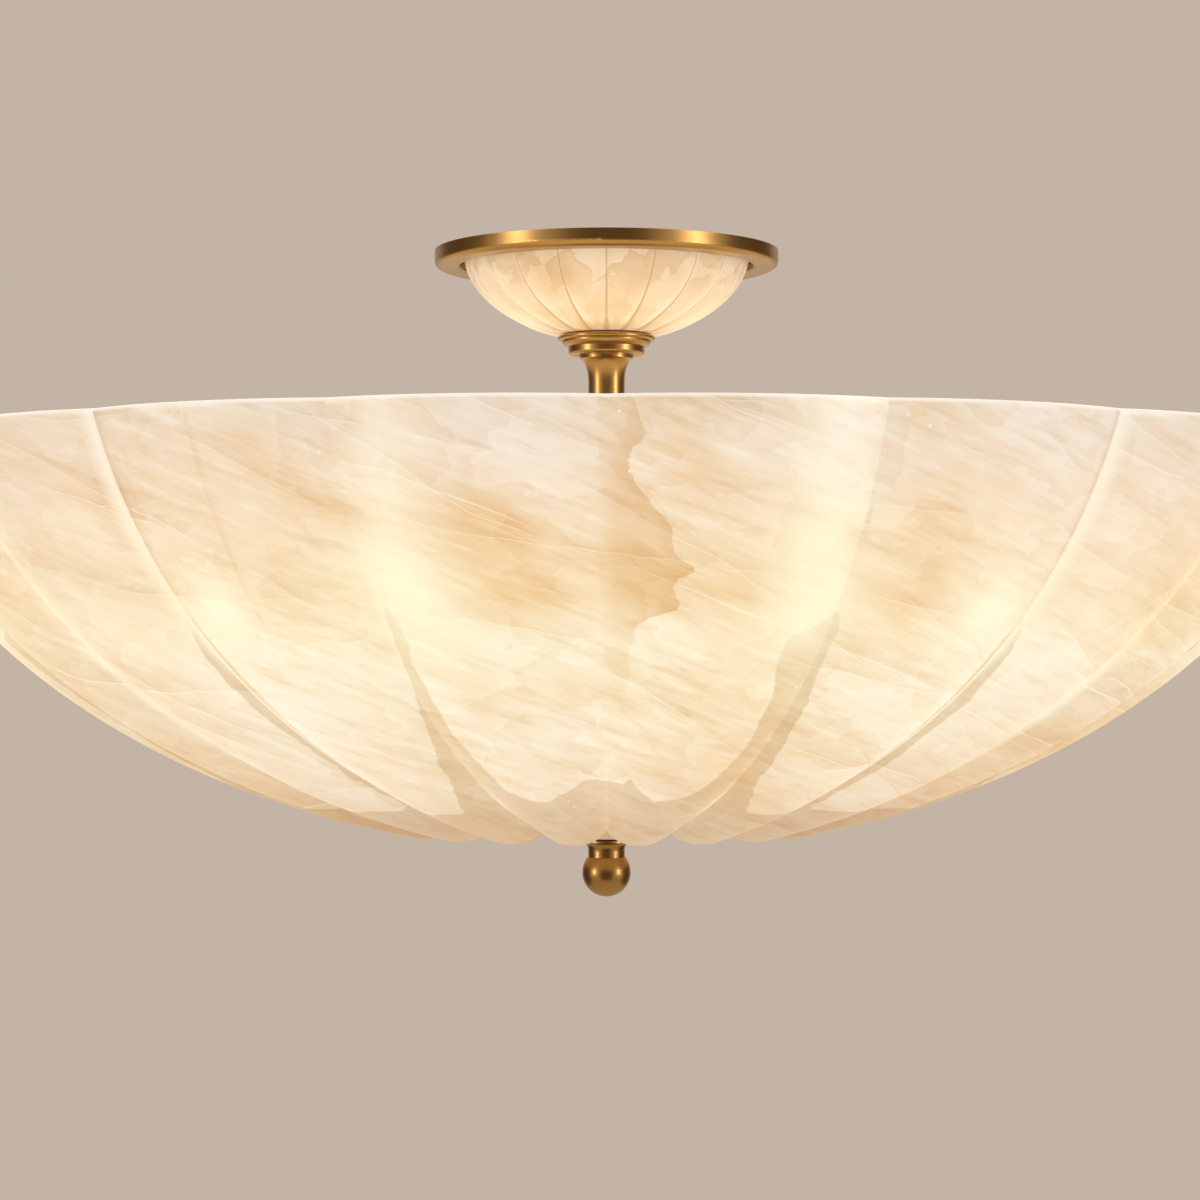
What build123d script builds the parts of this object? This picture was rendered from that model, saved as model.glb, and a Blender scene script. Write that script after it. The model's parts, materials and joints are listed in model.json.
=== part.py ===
from build123d import *
from math import acos, asin, cos, degrees, pi, radians, sin, sqrt, tan
import os

# Semi-flush ceiling light: a large fluted stone bowl hung under a small fluted
# stone canopy by a brass stem. Units are millimetres. The origin is the centre of
# the ceiling plane, +Z is up, so the light hangs below it, and -Y is its front.

# Ceiling ring
ring_radius = 66.5
ring_height = 6.4
ring_corner = 2.6
ring_slot = 1.5
ring_lip_inner = 51.0
ring_lip = 1.5
ring_chamfer = 0.8
ring_flat = 0.5

# Canopy bowl
canopy_radius = 55.4
canopy_height = 32.0
canopy_flat_rise = 2.6
canopy_flutes = 18
canopy_groove = 1.5
canopy_wall = 5.0
canopy_floor = 4.6
canopy_foot = 14.7
gasket = 0.8
gasket_overhang = 0.6

# Threaded rods and nuts
pipe_radius = 4.86
pipe_bore = 3.1
thread_gap = 0.04
pipe_standout = 0.5
pipe_nut_flats = 14.0
pipe_nut = 3.0
rod_radius = 3.175
rod_nut_flats = 11.0
rod_nut = 3.5
rod_standout = 2.0
free_gap = 0.3

# Crossbar: an offset strap whose feet meet the ceiling box
strap_half_length = 48.0
strap_width = 20.0
strap_thickness = 1.6
strap_drop = 12.0
strap_foot_inner = 31.0
strap_knee = 22.0
slot_centre = 39.7
slot_length = 14.0
slot_radius = 2.3
ground_screw_x = 16.5
ground_screw_radius = 1.9
ground_head_radius = 4.0
ground_head = 2.4
ground_head_chamfer = 0.6
ground_screw_length = 7.2
ground_lug = 0.8
ground_lug_radius = 4.2

# Leads and wire connectors
wire_radius = 0.9
lead_offset = 1.3
lead_crest = -4.2
lead_reach = 24.0
lead_end_x = 10.0
lead_rest = -14.0
lead_bend = 4.4
connector_mouth_x = 6.0
connector_length = 16.0
connector_mouth_radius = 5.4
connector_tip_radius = 3.4
connector_bore_depth = 9.0
ground_mouth_y = -14.0

# Stepped collar, from the stone down
collar_top_radius = 18.8
collar_top_height = 2.0
collar_step_radius = 14.7
collar_cove = 2.4
collar_step_height = 2.0
collar_round = 1.1
collar_lip = 0.4
collar_pad = 0.5
collar_pad_radius = 17.0

# Trumpet stem
stem_radius = 7.05
trumpet_radius = 10.3
trumpet_lip = 1.0
trumpet_height = 9.0

# Lamp cluster
lamp_level = -136.0
cup_radius = 22.0
cup_height = 34.0
cup_wall = 2.0
cup_cover = 2.0
cover_spigot = 4.0
splice_side = 18.0
splice_height = 14.0
splice_round = 1.5
socket_count = 4
socket_first = 45.0

# Sockets, from the cluster's cup outward
nipple_inside = 1.6
nipple_in_socket = 0.6
socket_seat = 0.2
socket_throat = 9.0
socket_dome = 10.8
socket_skirt = 4.5
socket_metal = 1.1
shell_overlap = 2.5
shell_length = 31.0
shell_bead = 0.7
shell_bead_length = 1.6
ceramic_floor = 8.5
ceramic_depth = 19.5
ceramic_wall = 0.9
screw_shell_wall = 0.6
screw_shell_depth = 20.5
contact_radius = 3.6
contact_height = 2.4
contact_rim = 0.8
contact_point_radius = 1.8
socket_wire_radius = 0.7
socket_wire_offset = 1.4

# Lamps, each a screw cap and a frosted globe
lamp_cap_radius = 13.1
lamp_cap_gap = 0.45
lamp_cap_length = 21.0
lamp_cap_wall = 0.5
lamp_cap_floor = 6.3
lamp_tip_radius = 4.6
lamp_tip_flat = 2.3
lamp_tip_height = 1.0
lamp_tip_gap = 0.3
lamp_taper = 4.2
lamp_neck_gap = 0.05
lamp_neck_inside = 7.0
lamp_neck_outside = 3.0
lamp_glass_wall = 1.0
globe_radius = 24.0
globe_reach = 37.0

# Large bowl
bowl_radius = 280.0
bowl_rim = -79.0
bowl_depth = 148.1
bowl_hub_thickness = 23.6
bowl_centre_rise = 48.9
bowl_foot_drop = 6.0
bowl_flutes = 20
bowl_rim_groove = 4.5
bowl_foot_groove = 7.0
bowl_wall = 11.0
recess_outer = 85.0
recess_round = 78.0
recess_round_drop = 1.0
recess_inner = 70.0
recess_rise = 4.9
cone_outer = 66.0
cone_drop = 9.6
cone_foot = 10.5
bowl_hole_gap = 1.0

# Pads, washers and finial under and over the bowl's hub
bowl_pad = 0.8
bowl_pad_radius = 8.6
inner_pad = 1.5
inner_pad_radius = 15.0
stop_washer = 1.5
stop_washer_radius = 14.0
finial_flange_radius = 9.3
finial_flange = 0.8
finial_flare = 3.4
finial_neck_radius = 7.1
finial_cup_height = 6.6
ball_radius = 9.4
ball_centre_drop = 5.9
ball_bore_depth = 8.6
rod_engaged = 8.0

os.makedirs("parts", exist_ok=True)

# Levels that follow from the sizes above
strap_top = -strap_drop
strap_bottom = strap_top - strap_thickness
pipe_top = strap_top + pipe_nut + pipe_standout
canopy_top = -ring_lip - gasket
canopy_bottom = -canopy_height
canopy_curve_depth = canopy_height + canopy_flat_rise
ring_opening = canopy_radius + ring_slot
ring_round = min(ring_corner, ring_radius - ring_opening - ring_chamfer - ring_flat)
collar_top = canopy_bottom - collar_pad
collar_cove_top = collar_top - collar_top_height
collar_step_top = collar_cove_top - collar_cove
collar_bottom = collar_step_top - collar_step_height - collar_round - collar_lip
cup_top = lamp_level + cup_height / 2
cup_bottom = lamp_level - cup_height / 2
cover_bottom = cup_bottom - cup_cover
pipe_bottom = cup_top - cup_wall - pipe_nut - rod_standout
rod_top = cup_bottom + rod_nut + rod_standout
bowl_centre = bowl_rim + bowl_centre_rise
cone_foot_level = bowl_rim - bowl_depth
bowl_floor = cone_foot_level + bowl_hub_thickness
cone_top = cone_foot_level + cone_drop
bowl_curve_depth = bowl_centre_rise + bowl_depth + bowl_foot_drop
bowl_semi_axis = bowl_radius / sqrt(1 - (bowl_centre_rise / bowl_curve_depth) ** 2)
pad_bottom = cone_foot_level - bowl_pad
finial_joint = pad_bottom - finial_cup_height
rod_bottom = finial_joint - rod_engaged

# Places along a socket, outward from the cluster's axis, and radii about the socket's axis
socket_turn = 360 / socket_count
nipple_start = cup_radius - cup_wall - nipple_inside
socket_back = cup_radius + socket_seat
skirt_start = socket_back + socket_dome
skirt_end = skirt_start + socket_skirt
nipple_end = skirt_start + nipple_in_socket
shell_start = skirt_end - shell_overlap
shell_end = shell_start + shell_length
ceramic_start = nipple_end + free_gap
ceramic_face = ceramic_start + ceramic_floor
lamp_cap_start = ceramic_face + contact_height + lamp_tip_gap
lamp_cap_end = lamp_cap_start + lamp_cap_length
globe_centre = lamp_cap_end + globe_reach
screw_shell_inner = lamp_cap_radius + lamp_cap_gap
screw_shell_radius = screw_shell_inner + screw_shell_wall
ceramic_inner = screw_shell_radius + thread_gap
ceramic_radius = ceramic_inner + ceramic_wall
shell_inner = ceramic_radius + thread_gap
shell_radius = shell_inner + socket_metal
socket_inner = shell_radius + thread_gap
socket_radius = socket_inner + socket_metal


def turned_ring(inner, outer, top, height):
    """A plain washer about the Z axis, from its top level down."""
    with BuildPart() as washer:
        with BuildSketch(Plane.XY.offset(top)):
            Circle(outer)
            Circle(inner, mode=Mode.SUBTRACT)
        extrude(amount=-height)
    return washer.part


def hex_nut(flats, bore, top, height):
    """A hexagonal nut about the Z axis, from its top level down."""
    with BuildPart() as nut:
        with BuildSketch(Plane.XY.offset(top)):
            RegularPolygon(flats / 2, 6, major_radius=False)
            Circle(bore, mode=Mode.SUBTRACT)
        extrude(amount=-height)
    return nut.part


def fluted_body(semi_axis, depth, centre, top, foot_radius, flutes, groove_foot, groove_top, thickness):
    """A thick elliptical shell whose outside is a ring of rounded lobes.

    The crest of each lobe follows x = a sin t, z = centre - b cos t. Every section square to
    that curve is an arc that drops, at the two planes shared with the next lobes, by the
    bowl's own roundness and the groove's depth. One lobe is lofted, trimmed to its wedge and
    turned about the axis.
    """
    section_count = 9
    overlap_ratio = 1.04
    past_top = radians(2)
    half_turn = pi / flutes
    t_foot = asin(foot_radius / semi_axis)
    t_top = acos((centre - top) / depth) + past_top
    with BuildPart() as lobe:
        for k in range(section_count):
            share = k / (section_count - 1)
            t = t_foot + (t_top - t_foot) * share
            crest = Vector(semi_axis * sin(t), 0, centre - depth * cos(t))
            along = Vector(semi_axis * cos(t), 0, depth * sin(t))
            section = Plane(crest, x_dir=(0, 1, 0), z_dir=along)
            round_sag = -section.y_dir.X * crest.X * tan(half_turn) ** 2 / 2
            sag = round_sag + groove_foot + (groove_top - groove_foot) * share
            half_width = (crest.X + sag * section.y_dir.X) * tan(half_turn)
            arc_radius = (half_width**2 + sag**2) / (2 * sag)
            reach = half_width * overlap_ratio
            drop = arc_radius - sqrt(arc_radius**2 - reach**2)
            with BuildSketch(section):
                with BuildLine():
                    ThreePointArc((-reach, drop), (0, 0), (reach, drop))
                    Polyline((reach, drop), (reach, thickness), (-reach, thickness), (-reach, drop))
                make_face()
        loft()
        for side in (-1, 1):
            edge_direction = (cos(half_turn), side * sin(half_turn), 0)
            outward = (-sin(half_turn), side * cos(half_turn), 0)
            split(bisect_by=Plane((0, 0, 0), x_dir=edge_direction, z_dir=outward), keep=Keep.BOTTOM)
        split(bisect_by=Plane.XY.offset(top), keep=Keep.BOTTOM)
    # A groove faces the front, so the first lobe stands half a lobe beside it
    with BuildPart() as body:
        with PolarLocations(0, flutes, start_angle=-90 + 180 / flutes):
            add(lobe.part)
    return body.part


# Offset strap that screws to the ceiling box
with BuildPart() as crossbar:
    with BuildSketch(Plane.XZ) as strap_profile:
        with BuildLine():
            upper = [
                (strap_half_length, 0),
                (strap_foot_inner, 0),
                (strap_knee, strap_top),
                (-strap_knee, strap_top),
                (-strap_foot_inner, 0),
                (-strap_half_length, 0),
            ]
            lower = [(x, z - strap_thickness) for x, z in reversed(upper)]
            Polyline(*upper, *lower, close=True)
        make_face()
    extrude(amount=strap_width / 2, both=True)
    with BuildSketch(Plane.XY):
        with Locations((slot_centre, 0), (-slot_centre, 0)):
            SlotOverall(slot_length, 2 * slot_radius)
    extrude(amount=-strap_thickness, mode=Mode.SUBTRACT)
    with BuildSketch(Plane.XY.offset(strap_top)):
        Circle(pipe_radius + thread_gap)
        with Locations((ground_screw_x, 0)):
            Circle(ground_screw_radius + thread_gap)
    extrude(amount=-strap_thickness, mode=Mode.SUBTRACT)
crossbar.part.label = "crossbar"
export_step(crossbar.part, "parts/crossbar.step")

# Screw that holds the ground lead's lug to the strap
with BuildPart() as ground_screw:
    with BuildSketch(Plane.XY.offset(strap_top + ground_lug)):
        with Locations((ground_screw_x, 0)):
            Circle(ground_head_radius)
    extrude(amount=ground_head)
    chamfer(ground_screw.edges().group_by(Axis.Z)[-1], ground_head_chamfer)
    with BuildSketch(Plane.XY.offset(strap_top + ground_lug)):
        with Locations((ground_screw_x, 0)):
            Circle(ground_screw_radius)
    extrude(amount=-ground_screw_length)
ground_screw.part.label = "ground_screw"
export_step(ground_screw.part, "parts/ground_screw.step")

# Hollow threaded pipe that carries the whole light and guides its leads
with BuildPart() as hollow_pipe:
    with BuildSketch(Plane.XY.offset(pipe_top)):
        Circle(pipe_radius)
        Circle(pipe_bore, mode=Mode.SUBTRACT)
    extrude(amount=pipe_bottom - pipe_top)
hollow_pipe.part.label = "hollow_pipe"
export_step(hollow_pipe.part, "parts/hollow_pipe.step")

# Nuts of the hollow pipe: over and under the strap, and under the cup's top
with BuildPart() as pipe_nuts:
    add(hex_nut(pipe_nut_flats, pipe_radius + thread_gap, strap_top + pipe_nut, pipe_nut))
    add(hex_nut(pipe_nut_flats, pipe_radius + thread_gap, strap_bottom, pipe_nut))
    add(hex_nut(pipe_nut_flats, pipe_radius + thread_gap, cup_top - cup_wall, pipe_nut))
pipe_nuts.part.label = "pipe_nuts"
export_step(pipe_nuts.part, "parts/pipe_nuts.step")

# Brass ring against the ceiling, with a lip that the canopy bowl presses on
with BuildPart() as ceiling_ring:
    with BuildSketch(Plane.XZ):
        with BuildLine():
            Polyline((ring_lip_inner, 0), (ring_radius, 0), (ring_radius, ring_round - ring_height))
            RadiusArc(
                (ring_radius, ring_round - ring_height),
                (ring_radius - ring_round, -ring_height),
                ring_round,
            )
            Polyline(
                (ring_radius - ring_round, -ring_height),
                (ring_opening + ring_chamfer, -ring_height),
                (ring_opening, ring_chamfer - ring_height),
                (ring_opening, -ring_lip),
                (ring_lip_inner, -ring_lip),
                (ring_lip_inner, 0),
            )
        make_face()
    revolve(axis=Axis.Z)
ceiling_ring.part.label = "ceiling_ring"
export_step(ceiling_ring.part, "parts/ceiling_ring.step")

# Felt ring between the ceiling ring's lip and the canopy bowl
with BuildPart() as canopy_gasket:
    add(turned_ring(ring_lip_inner - gasket_overhang, canopy_radius - gasket_overhang, -ring_lip, gasket))
canopy_gasket.part.label = "canopy_gasket"
export_step(canopy_gasket.part, "parts/canopy_gasket.step")

# Small fluted stone bowl that covers the ceiling box
with BuildPart() as canopy_bowl:
    add(
        fluted_body(
            canopy_radius,
            canopy_curve_depth,
            0,
            canopy_top,
            canopy_foot,
            canopy_flutes,
            canopy_groove,
            canopy_groove,
            canopy_floor + canopy_flat_rise,
        )
    )
    with BuildSketch(Plane.XY.offset(canopy_bottom)):
        Circle(collar_top_radius)
    extrude(amount=canopy_floor)
    with BuildSketch(Plane.XZ):
        with BuildLine():
            inner_floor = canopy_bottom + canopy_floor
            inner_depth = canopy_curve_depth - canopy_wall
            floor_angle = degrees(asin(inner_floor / inner_depth))
            cavity = EllipticalCenterArc(
                (0, 0),
                canopy_radius - canopy_wall,
                inner_depth,
                start_angle=floor_angle,
                arc_size=-floor_angle,
            )
            Polyline(cavity @ 1, (0, 0), (0, inner_floor), cavity @ 0)
        make_face()
    revolve(axis=Axis.Z, mode=Mode.SUBTRACT)
    split(bisect_by=Plane.XY.offset(canopy_bottom), keep=Keep.TOP)
    with BuildSketch(Plane.XY.offset(canopy_bottom)):
        Circle(pipe_radius + free_gap)
    extrude(amount=canopy_floor, mode=Mode.SUBTRACT)
canopy_bowl.part.label = "canopy_bowl"
export_step(canopy_bowl.part, "parts/canopy_bowl.step")

# Pad between the canopy bowl and the collar
with BuildPart() as collar_washer:
    add(turned_ring(pipe_radius + free_gap, collar_pad_radius, canopy_bottom, collar_pad))
collar_washer.part.label = "collar_washer"
export_step(collar_washer.part, "parts/collar_washer.step")

# Turned brass collar, threaded on the pipe, that clamps the canopy to the ceiling
with BuildPart() as stepped_collar:
    with BuildSketch(Plane.XZ):
        with BuildLine():
            bore = pipe_radius + thread_gap
            edge = collar_top_height / 2
            Polyline((bore, collar_bottom), (bore, collar_top), (collar_top_radius - edge, collar_top))
            ThreePointArc(
                (collar_top_radius - edge, collar_top),
                (collar_top_radius, collar_top - edge),
                (collar_top_radius - edge, collar_cove_top),
            )
            cove_edge = collar_step_radius + collar_cove
            step_foot = collar_step_top - collar_step_height
            Line((collar_top_radius - edge, collar_cove_top), (cove_edge, collar_cove_top))
            RadiusArc((cove_edge, collar_cove_top), (collar_step_radius, collar_step_top), collar_cove)
            Line((collar_step_radius, collar_step_top), (collar_step_radius, step_foot))
            RadiusArc(
                (collar_step_radius, step_foot),
                (collar_step_radius - collar_round, step_foot - collar_round),
                collar_round,
            )
            Polyline(
                (collar_step_radius - collar_round, step_foot - collar_round),
                (trumpet_radius + collar_lip, step_foot - collar_round),
                (trumpet_radius + collar_lip, collar_bottom),
                (bore, collar_bottom),
            )
        make_face()
    revolve(axis=Axis.Z)
stepped_collar.part.label = "stepped_collar"
export_step(stepped_collar.part, "parts/stepped_collar.step")

# Trumpet stem, a brass tube over the pipe, flared under the collar
with BuildPart() as trumpet_stem:
    with BuildSketch(Plane.XZ):
        with BuildLine():
            bore = pipe_radius + free_gap
            flare_top = collar_bottom - trumpet_lip
            flare_foot = flare_top - trumpet_height
            Polyline(
                (bore, cup_top),
                (bore, collar_bottom),
                (trumpet_radius, collar_bottom),
                (trumpet_radius, flare_top),
            )
            EllipticalCenterArc(
                (trumpet_radius, flare_foot),
                trumpet_radius - stem_radius,
                trumpet_height,
                start_angle=90,
                arc_size=90,
            )
            Polyline((stem_radius, flare_foot), (stem_radius, cup_top), (bore, cup_top))
        make_face()
    revolve(axis=Axis.Z)
trumpet_stem.part.label = "trumpet_stem"
export_step(trumpet_stem.part, "parts/trumpet_stem.step")

# Two leads, from the splice block up the pipe, over its end and down to a connector
for name, side in (("live_lead", 1), ("neutral_lead", -1)):
    with BuildPart() as lead:
        with BuildLine():
            route = FilletPolyline(
                (0, side * lead_offset, lamp_level + splice_height / 2),
                (0, side * lead_offset, lead_crest),
                (0, side * lead_reach, lead_crest),
                (0, side * lead_reach, lead_rest),
                (side * lead_end_x, side * lead_reach, lead_rest),
                radius=lead_bend,
            )
        with BuildSketch(Plane(route @ 0, z_dir=route % 0)):
            Circle(wire_radius)
        sweep(path=route)
    print(name, "length", round(route.length, 1), "bend radius", lead_bend)
    lead.part.label = name
    export_step(lead.part, f"parts/{name}.step")

# Ground lead: a lug under the ground screw and its short wire
with BuildPart() as ground_lead:
    with BuildSketch(Plane.XY.offset(strap_top)):
        with Locations((ground_screw_x, 0)):
            Circle(ground_lug_radius)
        with Locations((ground_screw_x, -ground_lug_radius)):
            Rectangle(2 * wire_radius, 2 * ground_lug_radius)
        with Locations((ground_screw_x, 0)):
            Circle(ground_screw_radius + thread_gap, mode=Mode.SUBTRACT)
    extrude(amount=ground_lug)
    wire_start = Vector(ground_screw_x, -ground_lug_radius - wire_radius, strap_top + wire_radius)
    wire_run = wire_start.Y - (ground_mouth_y - connector_bore_depth / 2)
    with BuildSketch(Plane(wire_start, z_dir=(0, -1, 0))):
        Circle(wire_radius)
    extrude(amount=wire_run)
ground_lead.part.label = "ground_lead"
export_step(ground_lead.part, "parts/ground_lead.step")

# Twist-on connectors, each a blind cone over the end of a lead
connector_places = [
    ((connector_mouth_x, lead_reach, lead_rest), (1, 0, 0)),
    ((-connector_mouth_x, -lead_reach, lead_rest), (-1, 0, 0)),
    ((ground_screw_x, ground_mouth_y, strap_top + wire_radius), (0, -1, 0)),
]
with BuildPart() as wire_connectors:
    for mouth, direction in connector_places:
        mouth_plane = Plane(mouth, z_dir=direction)
        with BuildSketch(mouth_plane):
            Circle(connector_mouth_radius)
        with BuildSketch(mouth_plane.offset(connector_length)):
            Circle(connector_tip_radius)
        loft()
        with BuildSketch(mouth_plane):
            Circle(wire_radius + free_gap)
        extrude(amount=connector_bore_depth, mode=Mode.SUBTRACT)
wire_connectors.part.label = "wire_connectors"
export_step(wire_connectors.part, "parts/wire_connectors.step")

# Cup of the lamp cluster, open below
with BuildPart() as cluster_cup:
    with BuildSketch(Plane.XY.offset(cup_bottom)):
        Circle(cup_radius)
    extrude(amount=cup_height)
    fillet(cluster_cup.edges().group_by(Axis.Z)[-1], cup_wall)
    with BuildSketch(Plane.XY.offset(cup_bottom)):
        Circle(cup_radius - cup_wall)
    extrude(amount=cup_height - cup_wall, mode=Mode.SUBTRACT)
    with BuildSketch(Plane.XY.offset(cup_top)):
        Circle(pipe_radius + thread_gap)
    extrude(amount=-cup_wall, mode=Mode.SUBTRACT)
    for k in range(socket_count):
        turn = radians(socket_first + k * socket_turn)
        with BuildSketch(Plane((0, 0, lamp_level), z_dir=(cos(turn), sin(turn), 0))):
            Circle(pipe_radius + thread_gap)
        extrude(amount=cup_radius, mode=Mode.SUBTRACT)
cluster_cup.part.label = "cluster_cup"
export_step(cluster_cup.part, "parts/cluster_cup.step")

# Cover of the cup, with a spigot inside it and a hole for the lower rod
with BuildPart() as cluster_cover:
    with BuildSketch(Plane.XY.offset(cup_bottom)):
        Circle(cup_radius)
    extrude(amount=-cup_cover)
    chamfer(cluster_cover.edges().group_by(Axis.Z)[0], cup_cover / 2)
    with BuildSketch(Plane.XY.offset(cup_bottom)):
        Circle(cup_radius - cup_wall - thread_gap)
        Circle(cup_radius - 2 * cup_wall, mode=Mode.SUBTRACT)
    extrude(amount=cover_spigot)
    with BuildSketch(Plane.XY.offset(cover_bottom)):
        Circle(rod_radius + thread_gap)
    extrude(amount=cup_cover, mode=Mode.SUBTRACT)
cluster_cover.part.label = "cluster_cover"
export_step(cluster_cover.part, "parts/cluster_cover.step")

# Block inside the cup that joins the leads to the sockets' wires
with BuildPart() as splice_block:
    with BuildSketch(Plane.XY.offset(lamp_level - splice_height / 2)):
        Rectangle(splice_side, splice_side, rotation=socket_first)
    extrude(amount=splice_height)
    fillet(splice_block.edges().filter_by(Axis.Z), splice_round)
splice_block.part.label = "splice_block"
export_step(splice_block.part, "parts/splice_block.step")

# Solid rod from the cluster down through the bowl to the finial
with BuildPart() as lower_rod:
    with BuildSketch(Plane.XY.offset(rod_bottom)):
        Circle(rod_radius)
    extrude(amount=rod_top - rod_bottom)
lower_rod.part.label = "lower_rod"
export_step(lower_rod.part, "parts/lower_rod.step")

# Nuts of the lower rod: over and under the cluster's cover, and over the stop washer
washer_top = bowl_floor + inner_pad + stop_washer
with BuildPart() as rod_nuts:
    add(hex_nut(rod_nut_flats, rod_radius + thread_gap, cup_bottom + rod_nut, rod_nut))
    add(hex_nut(rod_nut_flats, rod_radius + thread_gap, cover_bottom, rod_nut))
    add(hex_nut(rod_nut_flats, rod_radius + thread_gap, washer_top + rod_nut, rod_nut))
rod_nuts.part.label = "rod_nuts"
export_step(rod_nuts.part, "parts/rod_nuts.step")

# Stop washer and its rubber pad, which keep the bowl from lifting off the finial
with BuildPart() as bowl_stop_washer:
    add(turned_ring(rod_radius + free_gap, stop_washer_radius, washer_top, stop_washer))
bowl_stop_washer.part.label = "bowl_stop_washer"
export_step(bowl_stop_washer.part, "parts/bowl_stop_washer.step")

with BuildPart() as bowl_inner_pad:
    add(turned_ring(rod_radius + free_gap, inner_pad_radius, bowl_floor + inner_pad, inner_pad - free_gap))
bowl_inner_pad.part.label = "bowl_inner_pad"
export_step(bowl_inner_pad.part, "parts/bowl_inner_pad.step")

# Sockets and lamps, one set for each arm of the cluster
with BuildPart() as socket_nipples:
    for k in range(socket_count):
        turn = radians(socket_first + k * socket_turn)
        axis_plane = Plane((0, 0, lamp_level), z_dir=(cos(turn), sin(turn), 0))
        with BuildSketch(axis_plane.offset(nipple_start)):
            Circle(pipe_radius)
            Circle(pipe_bore, mode=Mode.SUBTRACT)
        extrude(amount=nipple_end - nipple_start)
socket_nipples.part.label = "socket_nipples"
export_step(socket_nipples.part, "parts/socket_nipples.step")

with BuildPart() as socket_wires:
    for k in range(socket_count):
        turn = radians(socket_first + k * socket_turn)
        across = (-sin(turn), cos(turn), 0)
        axis_plane = Plane((0, 0, lamp_level), x_dir=across, z_dir=(cos(turn), sin(turn), 0))
        with BuildSketch(axis_plane.offset(splice_side / 2)):
            with Locations((socket_wire_offset, 0), (-socket_wire_offset, 0)):
                Circle(socket_wire_radius)
        extrude(amount=ceramic_start - splice_side / 2)
socket_wires.part.label = "socket_wires"
export_step(socket_wires.part, "parts/socket_wires.step")

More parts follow.
